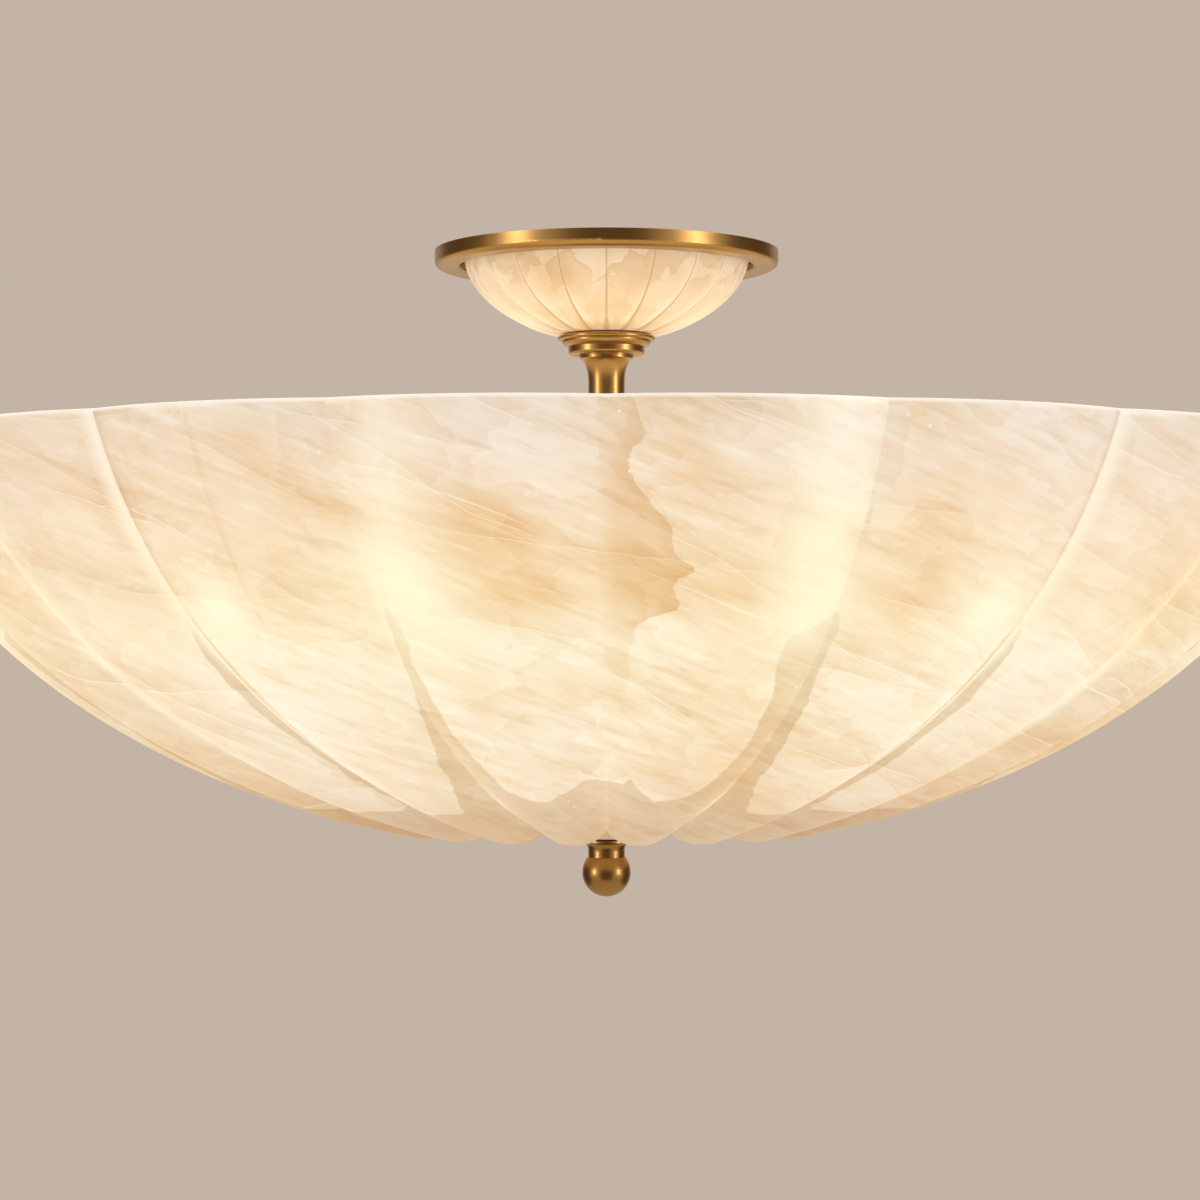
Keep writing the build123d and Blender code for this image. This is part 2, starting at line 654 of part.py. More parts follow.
for k in range(socket_count):
    number = k + 1
    turn = radians(socket_first + k * socket_turn)
    outward = Vector(cos(turn), sin(turn), 0)
    # In this plane X runs outward along the socket and Y is the radius about its axis
    half_section = Plane((0, 0, lamp_level), x_dir=outward, z_dir=(sin(turn), -cos(turn), 0))
    lamp_axis = Axis((0, 0, lamp_level), outward)

    # Domed metal cap at the socket's back, on its nipple
    with BuildPart() as socket_cap:
        with BuildSketch(half_section):
            with BuildLine():
                hole = pipe_radius + thread_gap
                front = socket_back + socket_metal
                Polyline((front, hole), (socket_back, hole), (socket_back, socket_throat))
                EllipticalCenterArc(
                    (skirt_start, socket_throat),
                    socket_dome,
                    socket_radius - socket_throat,
                    start_angle=180,
                    arc_size=-90,
                )
                Polyline(
                    (skirt_start, socket_radius),
                    (skirt_end, socket_radius),
                    (skirt_end, socket_inner),
                    (skirt_start, socket_inner),
                )
                EllipticalCenterArc(
                    (skirt_start, socket_throat),
                    socket_dome - socket_metal,
                    socket_inner - socket_throat,
                    start_angle=90,
                    arc_size=90,
                )
                Line((front, socket_throat), (front, hole))
            make_face()
        revolve(axis=lamp_axis)
    socket_cap.part.label = f"socket_cap_{number}"
    export_step(socket_cap.part, f"parts/socket_cap_{number}.step")

    # Outer metal shell, pushed into the cap, with a rolled bead at its mouth
    with BuildPart() as socket_shell:
        with BuildSketch(half_section):
            with BuildLine():
                bead_start = shell_end - shell_bead_length
                Polyline(
                    (shell_start, shell_inner),
                    (shell_start, shell_radius),
                    (bead_start, shell_radius),
                    (bead_start, shell_radius + shell_bead),
                    (shell_end, shell_radius + shell_bead),
                    (shell_end, shell_inner),
                    close=True,
                )
            make_face()
        revolve(axis=lamp_axis)
    socket_shell.part.label = f"socket_shell_{number}"
    export_step(socket_shell.part, f"parts/socket_shell_{number}.step")

    # Ceramic body inside the shell
    with BuildPart() as socket_ceramic:
        with BuildSketch(half_section):
            with BuildLine():
                Polyline(
                    (ceramic_start, 0),
                    (ceramic_start, ceramic_radius),
                    (ceramic_face + ceramic_depth, ceramic_radius),
                    (ceramic_face + ceramic_depth, ceramic_inner),
                    (ceramic_face, ceramic_inner),
                    (ceramic_face, 0),
                    close=True,
                )
            make_face()
        revolve(axis=lamp_axis)
    socket_ceramic.part.label = f"socket_ceramic_{number}"
    export_step(socket_ceramic.part, f"parts/socket_ceramic_{number}.step")

    # Threaded shell that takes the lamp's cap, and the contact at its bottom
    with BuildPart() as socket_screw_shell:
        with BuildSketch(half_section):
            with BuildLine():
                Polyline(
                    (ceramic_face, screw_shell_inner),
                    (ceramic_face, screw_shell_radius),
                    (ceramic_face + screw_shell_depth, screw_shell_radius),
                    (ceramic_face + screw_shell_depth, screw_shell_inner),
                    close=True,
                )
            make_face()
        revolve(axis=lamp_axis)
    socket_screw_shell.part.label = f"socket_screw_shell_{number}"
    export_step(socket_screw_shell.part, f"parts/socket_screw_shell_{number}.step")

    with BuildPart() as socket_contact:
        with BuildSketch(half_section):
            with BuildLine():
                Polyline(
                    (ceramic_face, 0),
                    (ceramic_face, contact_radius),
                    (ceramic_face + contact_rim, contact_radius),
                    (ceramic_face + contact_height, contact_point_radius),
                    (ceramic_face + contact_height, 0),
                    close=True,
                )
            make_face()
        revolve(axis=lamp_axis)
    socket_contact.part.label = f"socket_contact_{number}"
    export_step(socket_contact.part, f"parts/socket_contact_{number}.step")

    # Lamp cap: its tip, tapered insulator and threaded shell
    cap_inner = lamp_cap_radius - lamp_cap_wall
    cap_floor = lamp_cap_start + lamp_cap_floor
    with BuildPart() as lamp_cap:
        with BuildSketch(half_section):
            with BuildLine():
                Polyline(
                    (lamp_cap_start, 0),
                    (lamp_cap_start, lamp_tip_flat),
                    (lamp_cap_start + lamp_tip_height, lamp_tip_radius),
                    (lamp_cap_start + lamp_taper, lamp_cap_radius),
                    (lamp_cap_end, lamp_cap_radius),
                    (lamp_cap_end, cap_inner),
                    (cap_floor, cap_inner),
                    (cap_floor, 0),
                    close=True,
                )
            make_face()
        revolve(axis=lamp_axis)
    lamp_cap.part.label = f"lamp_cap_{number}"
    export_step(lamp_cap.part, f"parts/lamp_cap_{number}.step")

    # Frosted lamp glass: a neck that swells into a globe
    with BuildPart() as lamp_glass:
        with BuildSketch(half_section):
            neck = cap_inner - lamp_neck_gap
            neck_start = lamp_cap_end - lamp_neck_inside
            neck_end = lamp_cap_end + lamp_neck_outside
            # The neck flares in an arc that meets both the neck's line and the globe smoothly
            run = globe_centre - neck_end
            flare_radius = (run**2 + neck**2 - globe_radius**2) / (2 * (globe_radius - neck))
            to_join = Vector(-run, neck + flare_radius).normalized()
            for wall, mode in ((0, Mode.ADD), (lamp_glass_wall, Mode.SUBTRACT)):
                globe = globe_radius - wall
                join = (globe_centre + globe * to_join.X, globe * to_join.Y)
                with BuildLine():
                    Polyline(
                        (globe_centre + globe, 0),
                        (neck_start, 0),
                        (neck_start, neck - wall),
                        (neck_end, neck - wall),
                    )
                    TangentArc((neck_end, neck - wall), join, tangent=(1, 0))
                    ThreePointArc(join, (globe_centre, globe), (globe_centre + globe, 0))
                make_face(mode=mode)
        revolve(axis=lamp_axis)
    lamp_glass.part.label = f"lamp_glass_{number}"
    export_step(lamp_glass.part, f"parts/lamp_glass_{number}.step")

# Large fluted stone bowl, smooth inside, with a coned hub in a recess below
# Its turned faces start on the plane of a lobe's crest, clear of the grooves
half_lobe = radians(180 / bowl_flutes)
crest_plane = Plane(
    (0, 0, 0),
    x_dir=(cos(half_lobe), sin(half_lobe), 0),
    z_dir=(sin(half_lobe), -cos(half_lobe), 0),
)
with BuildPart() as alabaster_bowl:
    add(
        fluted_body(
            bowl_semi_axis,
            bowl_curve_depth,
            bowl_centre,
            bowl_rim,
            cone_outer,
            bowl_flutes,
            bowl_foot_groove,
            bowl_rim_groove,
            bowl_hub_thickness + bowl_foot_drop,
        )
    )
    with BuildSketch(crest_plane):
        with BuildLine():
            hub_edge = (cone_outer + recess_inner) / 2
            Polyline(
                (0, bowl_floor),
                (recess_round, bowl_floor),
                (recess_round, cone_top),
                (hub_edge, cone_top),
                (hub_edge, cone_foot_level),
                (0, cone_foot_level),
                close=True,
            )
        make_face()
    revolve(axis=Axis.Z)
    with BuildSketch(crest_plane):
        with BuildLine():
            inner_depth = bowl_curve_depth - bowl_wall
            floor_angle = degrees(asin((bowl_floor - bowl_centre) / inner_depth))
            cavity = EllipticalCenterArc(
                (0, bowl_centre),
                bowl_semi_axis - bowl_wall,
                inner_depth,
                start_angle=floor_angle,
                arc_size=-floor_angle,
            )
            Polyline(cavity @ 1, (0, bowl_centre), (0, bowl_floor), cavity @ 0)
        make_face()
    revolve(axis=Axis.Z, mode=Mode.SUBTRACT)
    with BuildSketch(crest_plane):
        with BuildLine():
            crest_level = bowl_centre - bowl_curve_depth * sqrt(1 - (recess_outer / bowl_semi_axis) ** 2)
            below = bowl_centre - bowl_curve_depth - bowl_wall
            lobe_end = ThreePointArc(
                (recess_outer, crest_level),
                (recess_round, crest_level - recess_round_drop),
                (recess_inner, crest_level + recess_rise),
            )
            Polyline(
                lobe_end @ 1,
                (cone_outer, cone_top),
                (cone_foot, cone_foot_level),
                (cone_foot, below),
                (recess_outer, below),
                lobe_end @ 0,
            )
        make_face()
    revolve(axis=Axis.Z, mode=Mode.SUBTRACT)
    with BuildSketch(Plane.XY.offset(bowl_floor)):
        Circle(rod_radius + bowl_hole_gap)
    extrude(amount=cone_foot_level - bowl_floor, mode=Mode.SUBTRACT)
alabaster_bowl.part.label = "alabaster_bowl"
export_step(alabaster_bowl.part, "parts/alabaster_bowl.step")

# Rubber washer between the bowl's hub and the finial
with BuildPart() as bowl_outer_pad:
    add(turned_ring(rod_radius + free_gap, bowl_pad_radius, cone_foot_level, bowl_pad))
bowl_outer_pad.part.label = "bowl_outer_pad"
export_step(bowl_outer_pad.part, "parts/bowl_outer_pad.step")

# Flared cup that spreads the bowl's weight on the finial
with BuildPart() as finial_cup:
    with BuildSketch(Plane.XZ):
        with BuildLine():
            bore = rod_radius + free_gap
            flare_top = pad_bottom - finial_flange
            flare_foot = flare_top - finial_flare
            Polyline(
                (bore, finial_joint),
                (bore, pad_bottom),
                (finial_flange_radius, pad_bottom),
                (finial_flange_radius, flare_top),
            )
            EllipticalCenterArc(
                (finial_flange_radius, flare_foot),
                finial_flange_radius - finial_neck_radius,
                finial_flare,
                start_angle=90,
                arc_size=90,
            )
            Polyline(
                (finial_neck_radius, flare_foot),
                (finial_neck_radius, finial_joint),
                (bore, finial_joint),
            )
        make_face()
    revolve(axis=Axis.Z)
finial_cup.part.label = "finial_cup"
export_step(finial_cup.part, "parts/finial_cup.step")

# Ball finial, a nut in the shape of a ball on the end of the lower rod
with BuildPart() as ball_finial:
    with Locations((0, 0, finial_joint - ball_centre_drop)):
        Sphere(ball_radius)
    split(bisect_by=Plane.XY.offset(finial_joint), keep=Keep.BOTTOM)
    with BuildSketch(Plane.XY.offset(finial_joint)):
        Circle(rod_radius + thread_gap)
    extrude(amount=-ball_bore_depth, mode=Mode.SUBTRACT)
ball_finial.part.label = "ball_finial"
export_step(ball_finial.part, "parts/ball_finial.step")
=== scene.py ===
# %% [markdown]
# # A fluted stone bowl light
# This notebook dresses a ceiling light. Two bowls of alabaster, a large one below and a
# small one above, hang on a brass stem between a brass ring and a ball finial. The packed
# CAD model gives every place and size. We load it first, and measure all that follows
# from it.

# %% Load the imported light
import json

import bpy
import numpy as np
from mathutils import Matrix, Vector


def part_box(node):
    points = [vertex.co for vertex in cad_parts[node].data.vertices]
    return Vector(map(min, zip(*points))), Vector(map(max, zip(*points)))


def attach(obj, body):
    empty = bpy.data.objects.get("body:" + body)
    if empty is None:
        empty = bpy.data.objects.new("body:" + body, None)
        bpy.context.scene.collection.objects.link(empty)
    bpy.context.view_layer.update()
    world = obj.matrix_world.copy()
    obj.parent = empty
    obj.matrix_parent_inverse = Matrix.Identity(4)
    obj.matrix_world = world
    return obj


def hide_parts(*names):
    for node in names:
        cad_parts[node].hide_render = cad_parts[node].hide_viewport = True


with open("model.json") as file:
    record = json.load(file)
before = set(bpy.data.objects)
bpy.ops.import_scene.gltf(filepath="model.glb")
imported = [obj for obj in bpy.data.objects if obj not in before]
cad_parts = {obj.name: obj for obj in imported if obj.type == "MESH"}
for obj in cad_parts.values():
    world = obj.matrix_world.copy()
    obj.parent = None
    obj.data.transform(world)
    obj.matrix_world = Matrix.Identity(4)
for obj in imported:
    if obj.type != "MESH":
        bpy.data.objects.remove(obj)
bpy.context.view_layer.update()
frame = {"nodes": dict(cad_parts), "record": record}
parts = frame["nodes"]
print("pieces in the frame:", len(parts))

# %% [markdown]
# ## Small tools
# Colours are picked as sRGB hex values, but Blender's shaders work in linear light, so one
# function converts them. A second function adds a shader node with its settings and
# links, which keeps each finish short enough to read.

# %% Colour and node tools
def linear(hex_colour):
    """Turns an sRGB hex colour into linear RGBA: a straight line near black, a power above."""
    channels = np.array([int(hex_colour[i : i + 2], 16) for i in (1, 3, 5)]) / 255
    curved = ((channels + 0.055) / 1.055) ** 2.4
    return (*np.where(channels <= 0.04045, channels / 12.92, curved).tolist(), 1.0)


def connect(tree, node, inputs):
    """Gives a node's inputs, by place or name, their values, or links them to other nodes."""
    for key, value in inputs.items():
        if isinstance(value, bpy.types.NodeSocket):
            tree.links.new(value, node.inputs[key])
        else:
            node.inputs[key].default_value = value


def add_node(tree, kind, inputs=None, output=0, stops=None, **settings):
    """Adds a shader node and returns one of its outputs. Stops are a ramp's places and colours."""
    node = tree.nodes.new("ShaderNode" + kind)
    for name, value in settings.items():
        setattr(node, name, value)
    connect(tree, node, inputs or {})
    if stops:
        while len(node.color_ramp.elements) < len(stops):
            node.color_ramp.elements.new(1.0)
        for element, (place, colour) in zip(node.color_ramp.elements, stops):
            element.position = place
            element.color = colour if isinstance(colour, tuple) else (colour, colour, colour, 1.0)
    return node.outputs[output]


def new_material(name):
    """Makes a node material and returns it with its tree and its main shader node."""
    material = bpy.data.materials.new(name)
    material.use_nodes = True
    tree = material.node_tree
    return material, tree, tree.nodes["Principled BSDF"]


print("mid grey #808080 in linear light:", round(linear("#808080")[0], 3))

# %% [markdown]
# ## The camera
# The photograph looks a little upwards from in front, with the horizon below the middle of
# the picture. The camera could be placed by eye, but its distance and height were worked
# out from the rims and grooves, so that sizes can be compared. A long lens 1.16 m in front
# of the stem gives the flat perspective. The small shifts place the stem and the horizon
# where the photograph has them.

# %% Camera
EYE_DISTANCE = 1.163
EYE_HEIGHT = -0.15775
LENS_MM = 90.0
PHOTO_SIDE = 1200
STEM_COLUMN = 606.5
HORIZON_ROW = 659.0

camera_data = bpy.data.cameras.new("photo_camera")
camera_data.sensor_width = 36.0
camera_data.lens = LENS_MM
camera_data.shift_x = 0.5 - STEM_COLUMN / PHOTO_SIDE
camera_data.shift_y = HORIZON_ROW / PHOTO_SIDE - 0.5
camera = bpy.data.objects.new("photo_camera", camera_data)
camera.location = (0, -EYE_DISTANCE, EYE_HEIGHT)
camera.rotation_euler = (np.pi / 2, 0, 0)
bpy.context.scene.collection.objects.link(camera)
bpy.context.scene.camera = camera
print("camera shift:", round(camera_data.shift_x, 4), round(camera_data.shift_y, 4))

# %% [markdown]
# ## Shape of a fluted bowl
# Each bowl is a ring of rounded lobes, like an orange cut across. The crest of a lobe
# follows an ellipse from the foot to the rim. Square to that crest the lobe is a circular
# arc, which meets the next lobe in a groove. Working the surface out from those two curves
# keeps every groove sharp, which a displaced sphere would blur. The sizes are in metres.

# %% Sizes of the two bowls
COLUMNS_PER_LOBE = 22
BACK = np.pi / 2
FRONT = -np.pi / 2

large = {
    "flutes": 20,
    "semi_axis": 0.28852,
    "depth": 0.203,
    "centre": -0.0301,
    "rim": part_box("alabaster_bowl")[1].z,
    "foot_radius": 0.066,
    "foot_groove": 0.007,
    "rim_groove": 0.0045,
    "wall": 0.011,
}
small = {
    "flutes": 18,
    "semi_axis": 0.0554,
    "depth": 0.0346,
    "centre": 0.0,
    "rim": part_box("canopy_bowl")[1].z,
    "foot_radius": 0.0147,
    "foot_groove": 0.0015,
    "rim_groove": 0.0015,
    "wall": 0.005,
}
for bowl in (large, small):
    bowl["foot_turn"] = np.arcsin(bowl["foot_radius"] / bowl["semi_axis"])
    bowl["rim_turn"] = np.arccos((bowl["centre"] - bowl["rim"]) / bowl["depth"])
    bowl["top_turn"] = bowl["rim_turn"] + np.radians(2)
    print("lobes:", bowl["flutes"], "rim at", round(bowl["rim"], 4))


# %% [markdown]
# A point on a lobe has two parameters: a turn along the crest, from foot to rim, and a
# place across the lobe, from one groove to the next. A strip bent by modifiers could come
# close, but a formula gives all points at once, and neighbours meet exactly in the groove.

# %% The lobed surface
def lobed_surface(bowl, turn, across):
    """Radius, angle from the crest and height of points on a lobe, across from -1 to 1.

    The crest is x = a sin t, z = centre - b cos t. From it a point moves along an arc square
    to the crest. The arc's width reaches the planes shared with the next lobes, and its drop
    there is the bowl's own roundness plus the groove's depth, g = g_foot + (g_rim - g_foot) s
    where s runs from 0 at the foot to 1 at the top.
    """
    share = (turn - bowl["foot_turn"]) / (bowl["top_turn"] - bowl["foot_turn"])
    groove = bowl["foot_groove"] + (bowl["rim_groove"] - bowl["foot_groove"]) * share
    crest_x = bowl["semi_axis"] * np.sin(turn)
    crest_z = bowl["centre"] - bowl["depth"] * np.cos(turn)
    inward_x = -bowl["depth"] * np.sin(turn)
    inward_z = bowl["semi_axis"] * np.cos(turn)
    length = np.hypot(inward_x, inward_z)
    inward_x, inward_z = inward_x / length, inward_z / length
    slope = np.tan(np.pi / bowl["flutes"])
    sag = groove - inward_x * crest_x * slope**2 / 2
    half_width = (crest_x + sag * inward_x) * slope
    arc_radius = (half_width**2 + sag**2) / (2 * sag)
    swing = across * np.arcsin(half_width / arc_radius)
    drop = arc_radius * (1 - np.cos(swing))
    x = crest_x + drop * inward_x
    y = arc_radius * np.sin(swing)
    return np.hypot(x, y), np.arctan2(y, x), crest_z + drop * inward_z


def find_turn(gap, low, high, steps=40):
    """The place where gap changes sign, found by halving the stretch from low to high."""
    for _ in range(steps):
        middle = (low + high) / 2
        above = gap(middle) > 0
        low, high = np.where(above, low, middle), np.where(above, middle, high)
    return (low + high) / 2


# %% [markdown]
# ## From columns of points to a closed bowl
# A bowl is made as a grid. A column runs down the outside from the rim, in under the foot,
# through the hole, and up the inside to the rim again. The columns stand side by side
# round the axis and crowd towards the grooves, where the shape turns fastest. Both ways
# round the grid closes on itself, so the bowl is one watertight skin. Blender's Spin tool
# also turns a profile, but it has only one, which would lose the lobes.

# %% Columns of points
def columns(bowl):
    """Place across its lobe and crest angle of every column, from the back groove round."""
    place = np.sin(np.pi / 2 * (2 * np.arange(COLUMNS_PER_LOBE) / COLUMNS_PER_LOBE - 1))
    lobe = np.repeat(np.arange(bowl["flutes"]), COLUMNS_PER_LOBE)
    return np.tile(place, bowl["flutes"]), BACK + (2 * lobe + 1) * np.pi / bowl["flutes"]


print("columns round the large bowl:", columns(large)[0].size)


# %% From grids to a mesh
def grid_mesh(name, radius, angle, height, outer_rows):
    """A closed mesh from grids of radius, angle and height, with its grooves marked sharp."""
    points = np.stack([radius * np.cos(angle), radius * np.sin(angle), height], axis=-1)
    n_rows, n_columns = radius.shape
    number = np.arange(n_rows * n_columns).reshape(n_rows, n_columns)
    below = np.roll(number, -1, axis=0)
    corners = [number, below, np.roll(below, -1, axis=1), np.roll(number, -1, axis=1)]
    quads = np.stack(corners, axis=-1).reshape(-1, 4)
    mesh = bpy.data.meshes.new(name)
    mesh.from_pydata(points.reshape(-1, 3).tolist(), [], quads.tolist())
    mesh.polygons.foreach_set("use_smooth", np.ones(len(mesh.polygons), bool))
    ends = np.zeros(len(mesh.edges) * 2, np.int32)
    mesh.edges.foreach_get("vertices", ends)
    row, column = np.divmod(ends.reshape(-1, 2), n_columns)
    in_groove = (column % COLUMNS_PER_LOBE == 0).all(axis=1) & (row < outer_rows).all(axis=1)
    sharp = mesh.attributes.new("sharp_edge", "BOOLEAN", "EDGE")
    sharp.data.foreach_set("value", in_groove & (row[:, 0] != row[:, 1]))
    bowl_object = bpy.data.objects.new(name, mesh)
    bpy.context.scene.collection.objects.link(bowl_object)
    print(name, "quads:", len(mesh.polygons))
    return bowl_object


# %% Rows of a skin and of a rim
def outer_skin(bowl, end_gap, rows, edge):
    """Rows of a bowl's outside from just under the rim down to where end_gap is zero."""
    across, crest = columns(bowl)
    # The search for the end starts well inside the foot
    low = np.full(across.shape, bowl["foot_turn"] * 0.7)
    high = np.full(across.shape, bowl["top_turn"])
    rim_level = bowl["rim"] - edge
    top = find_turn(lambda t: lobed_surface(bowl, t, across)[2] - rim_level, low, high)
    foot = find_turn(lambda t: end_gap(*lobed_surface(bowl, t, across)[::2]), low, high)
    turn = top + (foot - top) * np.linspace(0, 1, rows)[:, None]
    radius, swing, height = lobed_surface(bowl, turn, across)
    return radius, crest + swing, height


def radial_rows(radius, height, angle):
    """Rows of points that each column has at the given radii and heights, at its own angle."""
    radius, height = np.broadcast_arrays(radius, height)
    return radius, np.broadcast_to(angle, radius.shape), height


def rim_rows(outer_radius, inner_radius, rim, edge, steps):
    """Radii and heights over a rim, from its inner face round two small arcs to its outer."""
    arc = np.linspace(0, np.pi / 2, steps)[:, None]
    inner = (inner_radius + edge * (1 - np.cos(arc)), rim - edge * (1 - np.sin(arc)))
    outer = (outer_radius - edge * (1 - np.cos(arc[::-1])), rim - edge * (1 - np.sin(arc[::-1])))
    inner_radii = np.broadcast_to(inner[0], (steps, outer_radius.size))
    radius = np.concatenate([inner_radii, outer[0][:-1]])
    height = np.concatenate([inner[1], outer[1][:-1]])
    return radius, height


# %% [markdown]
# ## The large bowl
# Under the foot the lobes end on a rounded lip. Inside it a shallow recess rises to a
# cone, which comes down again to the finial. The inside of the bowl is an ellipse over a
# flat floor. It is hollowed a little behind each lobe, so thicker ribs stand behind the
# grooves and join above the hub.

# %% Profile under the foot
LIP_OUTER = 0.085
LIP_LOWEST = 0.078
LIP_INNER = 0.070
LIP_DROP = 0.001
LIP_RISE = 0.0049
CONE_TOP_RADIUS = 0.066
CONE_TOP = -0.2175
CONE_FOOT_RADIUS = 0.0105
CONE_FOOT = -0.2271
HOLE_RADIUS = 0.004175
FLOOR = -0.2035
EDGE = 0.0014


def circle_through(points):
    """Centre and radius of the circle through three points of a plane."""
    (ax, ay), (bx, by), (cx, cy) = points
    matrix = 2 * np.array([[bx - ax, by - ay], [cx - ax, cy - ay]])
    right = [bx**2 + by**2 - ax**2 - ay**2, cx**2 + cy**2 - ax**2 - ay**2]
    centre = np.linalg.solve(matrix, right)
    return centre, np.hypot(ax - centre[0], ay - centre[1])


lip_level = large["centre"] - large["depth"] * np.sqrt(1 - (LIP_OUTER / large["semi_axis"]) ** 2)
lip_points = [
    (LIP_OUTER, lip_level),
    (LIP_LOWEST, lip_level - LIP_DROP),
    (LIP_INNER, lip_level + LIP_RISE),
]
lip_centre, lip_radius = circle_through(lip_points)


def lip_height(radius):
    """Height of the lip's arc, z = z_c - sqrt(R^2 - (r - r_c)^2), below its centre."""
    inside = np.clip(lip_radius**2 - (radius - lip_centre[0]) ** 2, 0, None)
    return lip_centre[1] - np.sqrt(inside)


def over_lip(radius, height):
    """How far a point is above the lip. Further out than the lip it always counts as above."""
    return height - np.where(radius > LIP_OUTER, -1.0, lip_height(radius))


OUTER_ROWS = 112
outer_radius, outer_angle, outer_height = outer_skin(large, over_lip, OUTER_ROWS, EDGE)
print("the lobes end at radii", outer_radius[-1].min().round(4), outer_radius[-1].max().round(4))

# %% [markdown]
# The rows under the foot and inside the bowl follow. Each block of rows holds a radius, an
# angle and a height for every column. The inner wall is an ellipse too, and a short curve
# joins it to the floor, because a carved bowl has no sharp corner there. All columns turn
# a little on the way up, so that the inside meets the outside at the rim.

# %% Rows of the large bowl
foot_angle = outer_angle[-1]
rim_angle = outer_angle[0]
lip_share = np.linspace(0, 1, 8)[1:, None]
lip_r = outer_radius[-1] + (LIP_INNER - outer_radius[-1]) * lip_share
lip_rows = radial_rows(lip_r, lip_height(lip_r), foot_angle)

cone_r = np.array([CONE_TOP_RADIUS, 0.055, 0.044, 0.033, 0.022, CONE_FOOT_RADIUS])[:, None]
cone_share = (CONE_TOP_RADIUS - cone_r) / (CONE_TOP_RADIUS - CONE_FOOT_RADIUS)
cone_z = CONE_TOP + (CONE_FOOT - CONE_TOP) * cone_share
hub_r = np.concatenate([cone_r, [[HOLE_RADIUS], [HOLE_RADIUS]]])
hub_z = np.concatenate([cone_z, [[CONE_FOOT], [FLOOR]]])
hub_rows = radial_rows(hub_r + 0 * foot_angle, hub_z, foot_angle)

INNER_ROWS = 64
BEND_TURN = 0.04
BEND_START = 0.012
inner_axis = large["semi_axis"] - large["wall"]
inner_depth = large["depth"] - large["wall"]
floor_turn = np.arccos((large["centre"] - FLOOR) / inner_depth)
rim_inner_turn = np.arccos((large["centre"] - large["rim"] + EDGE) / inner_depth)
floor_edge = inner_axis * np.sin(floor_turn)
inner_turn = np.linspace(floor_turn + BEND_TURN, rim_inner_turn, INNER_ROWS)[:, None]
wall_r = inner_axis * np.sin(inner_turn)
wall_z = large["centre"] - inner_depth * np.cos(inner_turn)
bend = np.linspace(0, 1, 6)[:-1, None]
floor_start = floor_edge - BEND_START
bend_r = (1 - bend) ** 2 * floor_start + 2 * bend * (1 - bend) * floor_edge + bend**2 * wall_r[0]
bend_z = (1 - bend**2) * FLOOR + bend**2 * wall_z[0]
floor_r = np.array([0.015, 0.03, 0.05, 0.07, 0.09])[:, None]
floor_z = np.full(floor_r.shape, FLOOR)
inside_r = np.concatenate([floor_r, bend_r, wall_r])
inside_z = np.concatenate([floor_z, bend_z, wall_z])
inside_share = np.clip((inside_z - FLOOR) / (large["rim"] - FLOOR), 0, 1)
inside_angle = foot_angle + (rim_angle - foot_angle) * inside_share
print("the flat floor ends at radius", floor_start.round(4), "and the wall starts at", wall_r[0, 0].round(4))

# %% [markdown]
# ## What the light shows in the stone
# Four lamps stand behind the stone. Each face of the bowl shows two bright spots low on its
# wall, and a pale streak that runs from each spot to the rim. Between the grooves the stone
# is hollowed behind, and the light comes through these pockets. Along the grooves and over
# the hub it is thick and stays darker. Real lamps inside a translucent mesh could show
# this, but the picture would be noisy and the spots hard to place. So we work them out as
# smooth numbers at every point, which the finish cuts into organic shapes.

# %% Angles and bells
# Angles are in degrees from the middle of a face, levels and heights in metres
SPOT_ANGLE = 15.4
SPOT_LEVEL = -0.1385
SPOT_WIDTH = 4.6
SPOT_TALL = 0.021
SIDE_SPOT_ANGLE = 31.0
SIDE_SPOT_LEVEL = -0.1425
SIDE_SPOT_WIDTH = 4.0
SIDE_SPOT_TALL = 0.013
RIGHT_STREAK_WIDTH = 3.4
LEFT_STREAK_WIDTH = 2.4
FIRST_GROOVE = 18.0
FACE_HALF = 45.0


def from_front(angle):
    """Degrees from the nearest of the four faces, and from the front with the back folded on it."""
    front = np.degrees(angle - FRONT + np.pi) % 360 - 180
    folded = np.where(np.abs(front) > 90, np.sign(front) * (180 - np.abs(front)), front)
    return (front + FACE_HALF) % (2 * FACE_HALF) - FACE_HALF, folded, front


def bell(distance, width):
    """A smooth bell, 1 in the middle: exp(-(d/w)^2)."""
    return np.exp(-((distance / width) ** 2))


def smooth_max(a, b, reach):
    """The larger of two numbers, rounded where they are within reach of each other."""
    overlap = np.clip(0.5 + (a - b) / (2 * reach), 0, 1)
    return b + (a - b) * overlap + reach * overlap * (1 - overlap)


print("a bell one and two widths out:", bell(1, 1).round(3), bell(2, 1).round(3))

# %% [markdown]
# The thick ribs are given by a few widths along each groove, in millimetres on either side
# of it, and taper out on the way up. The hub's upper edge is a ragged crown in the middle
# of each face, and a level line beside it. Tables of a few points are easier to shape than
# a formula here, because the stone was left uneven by hand.

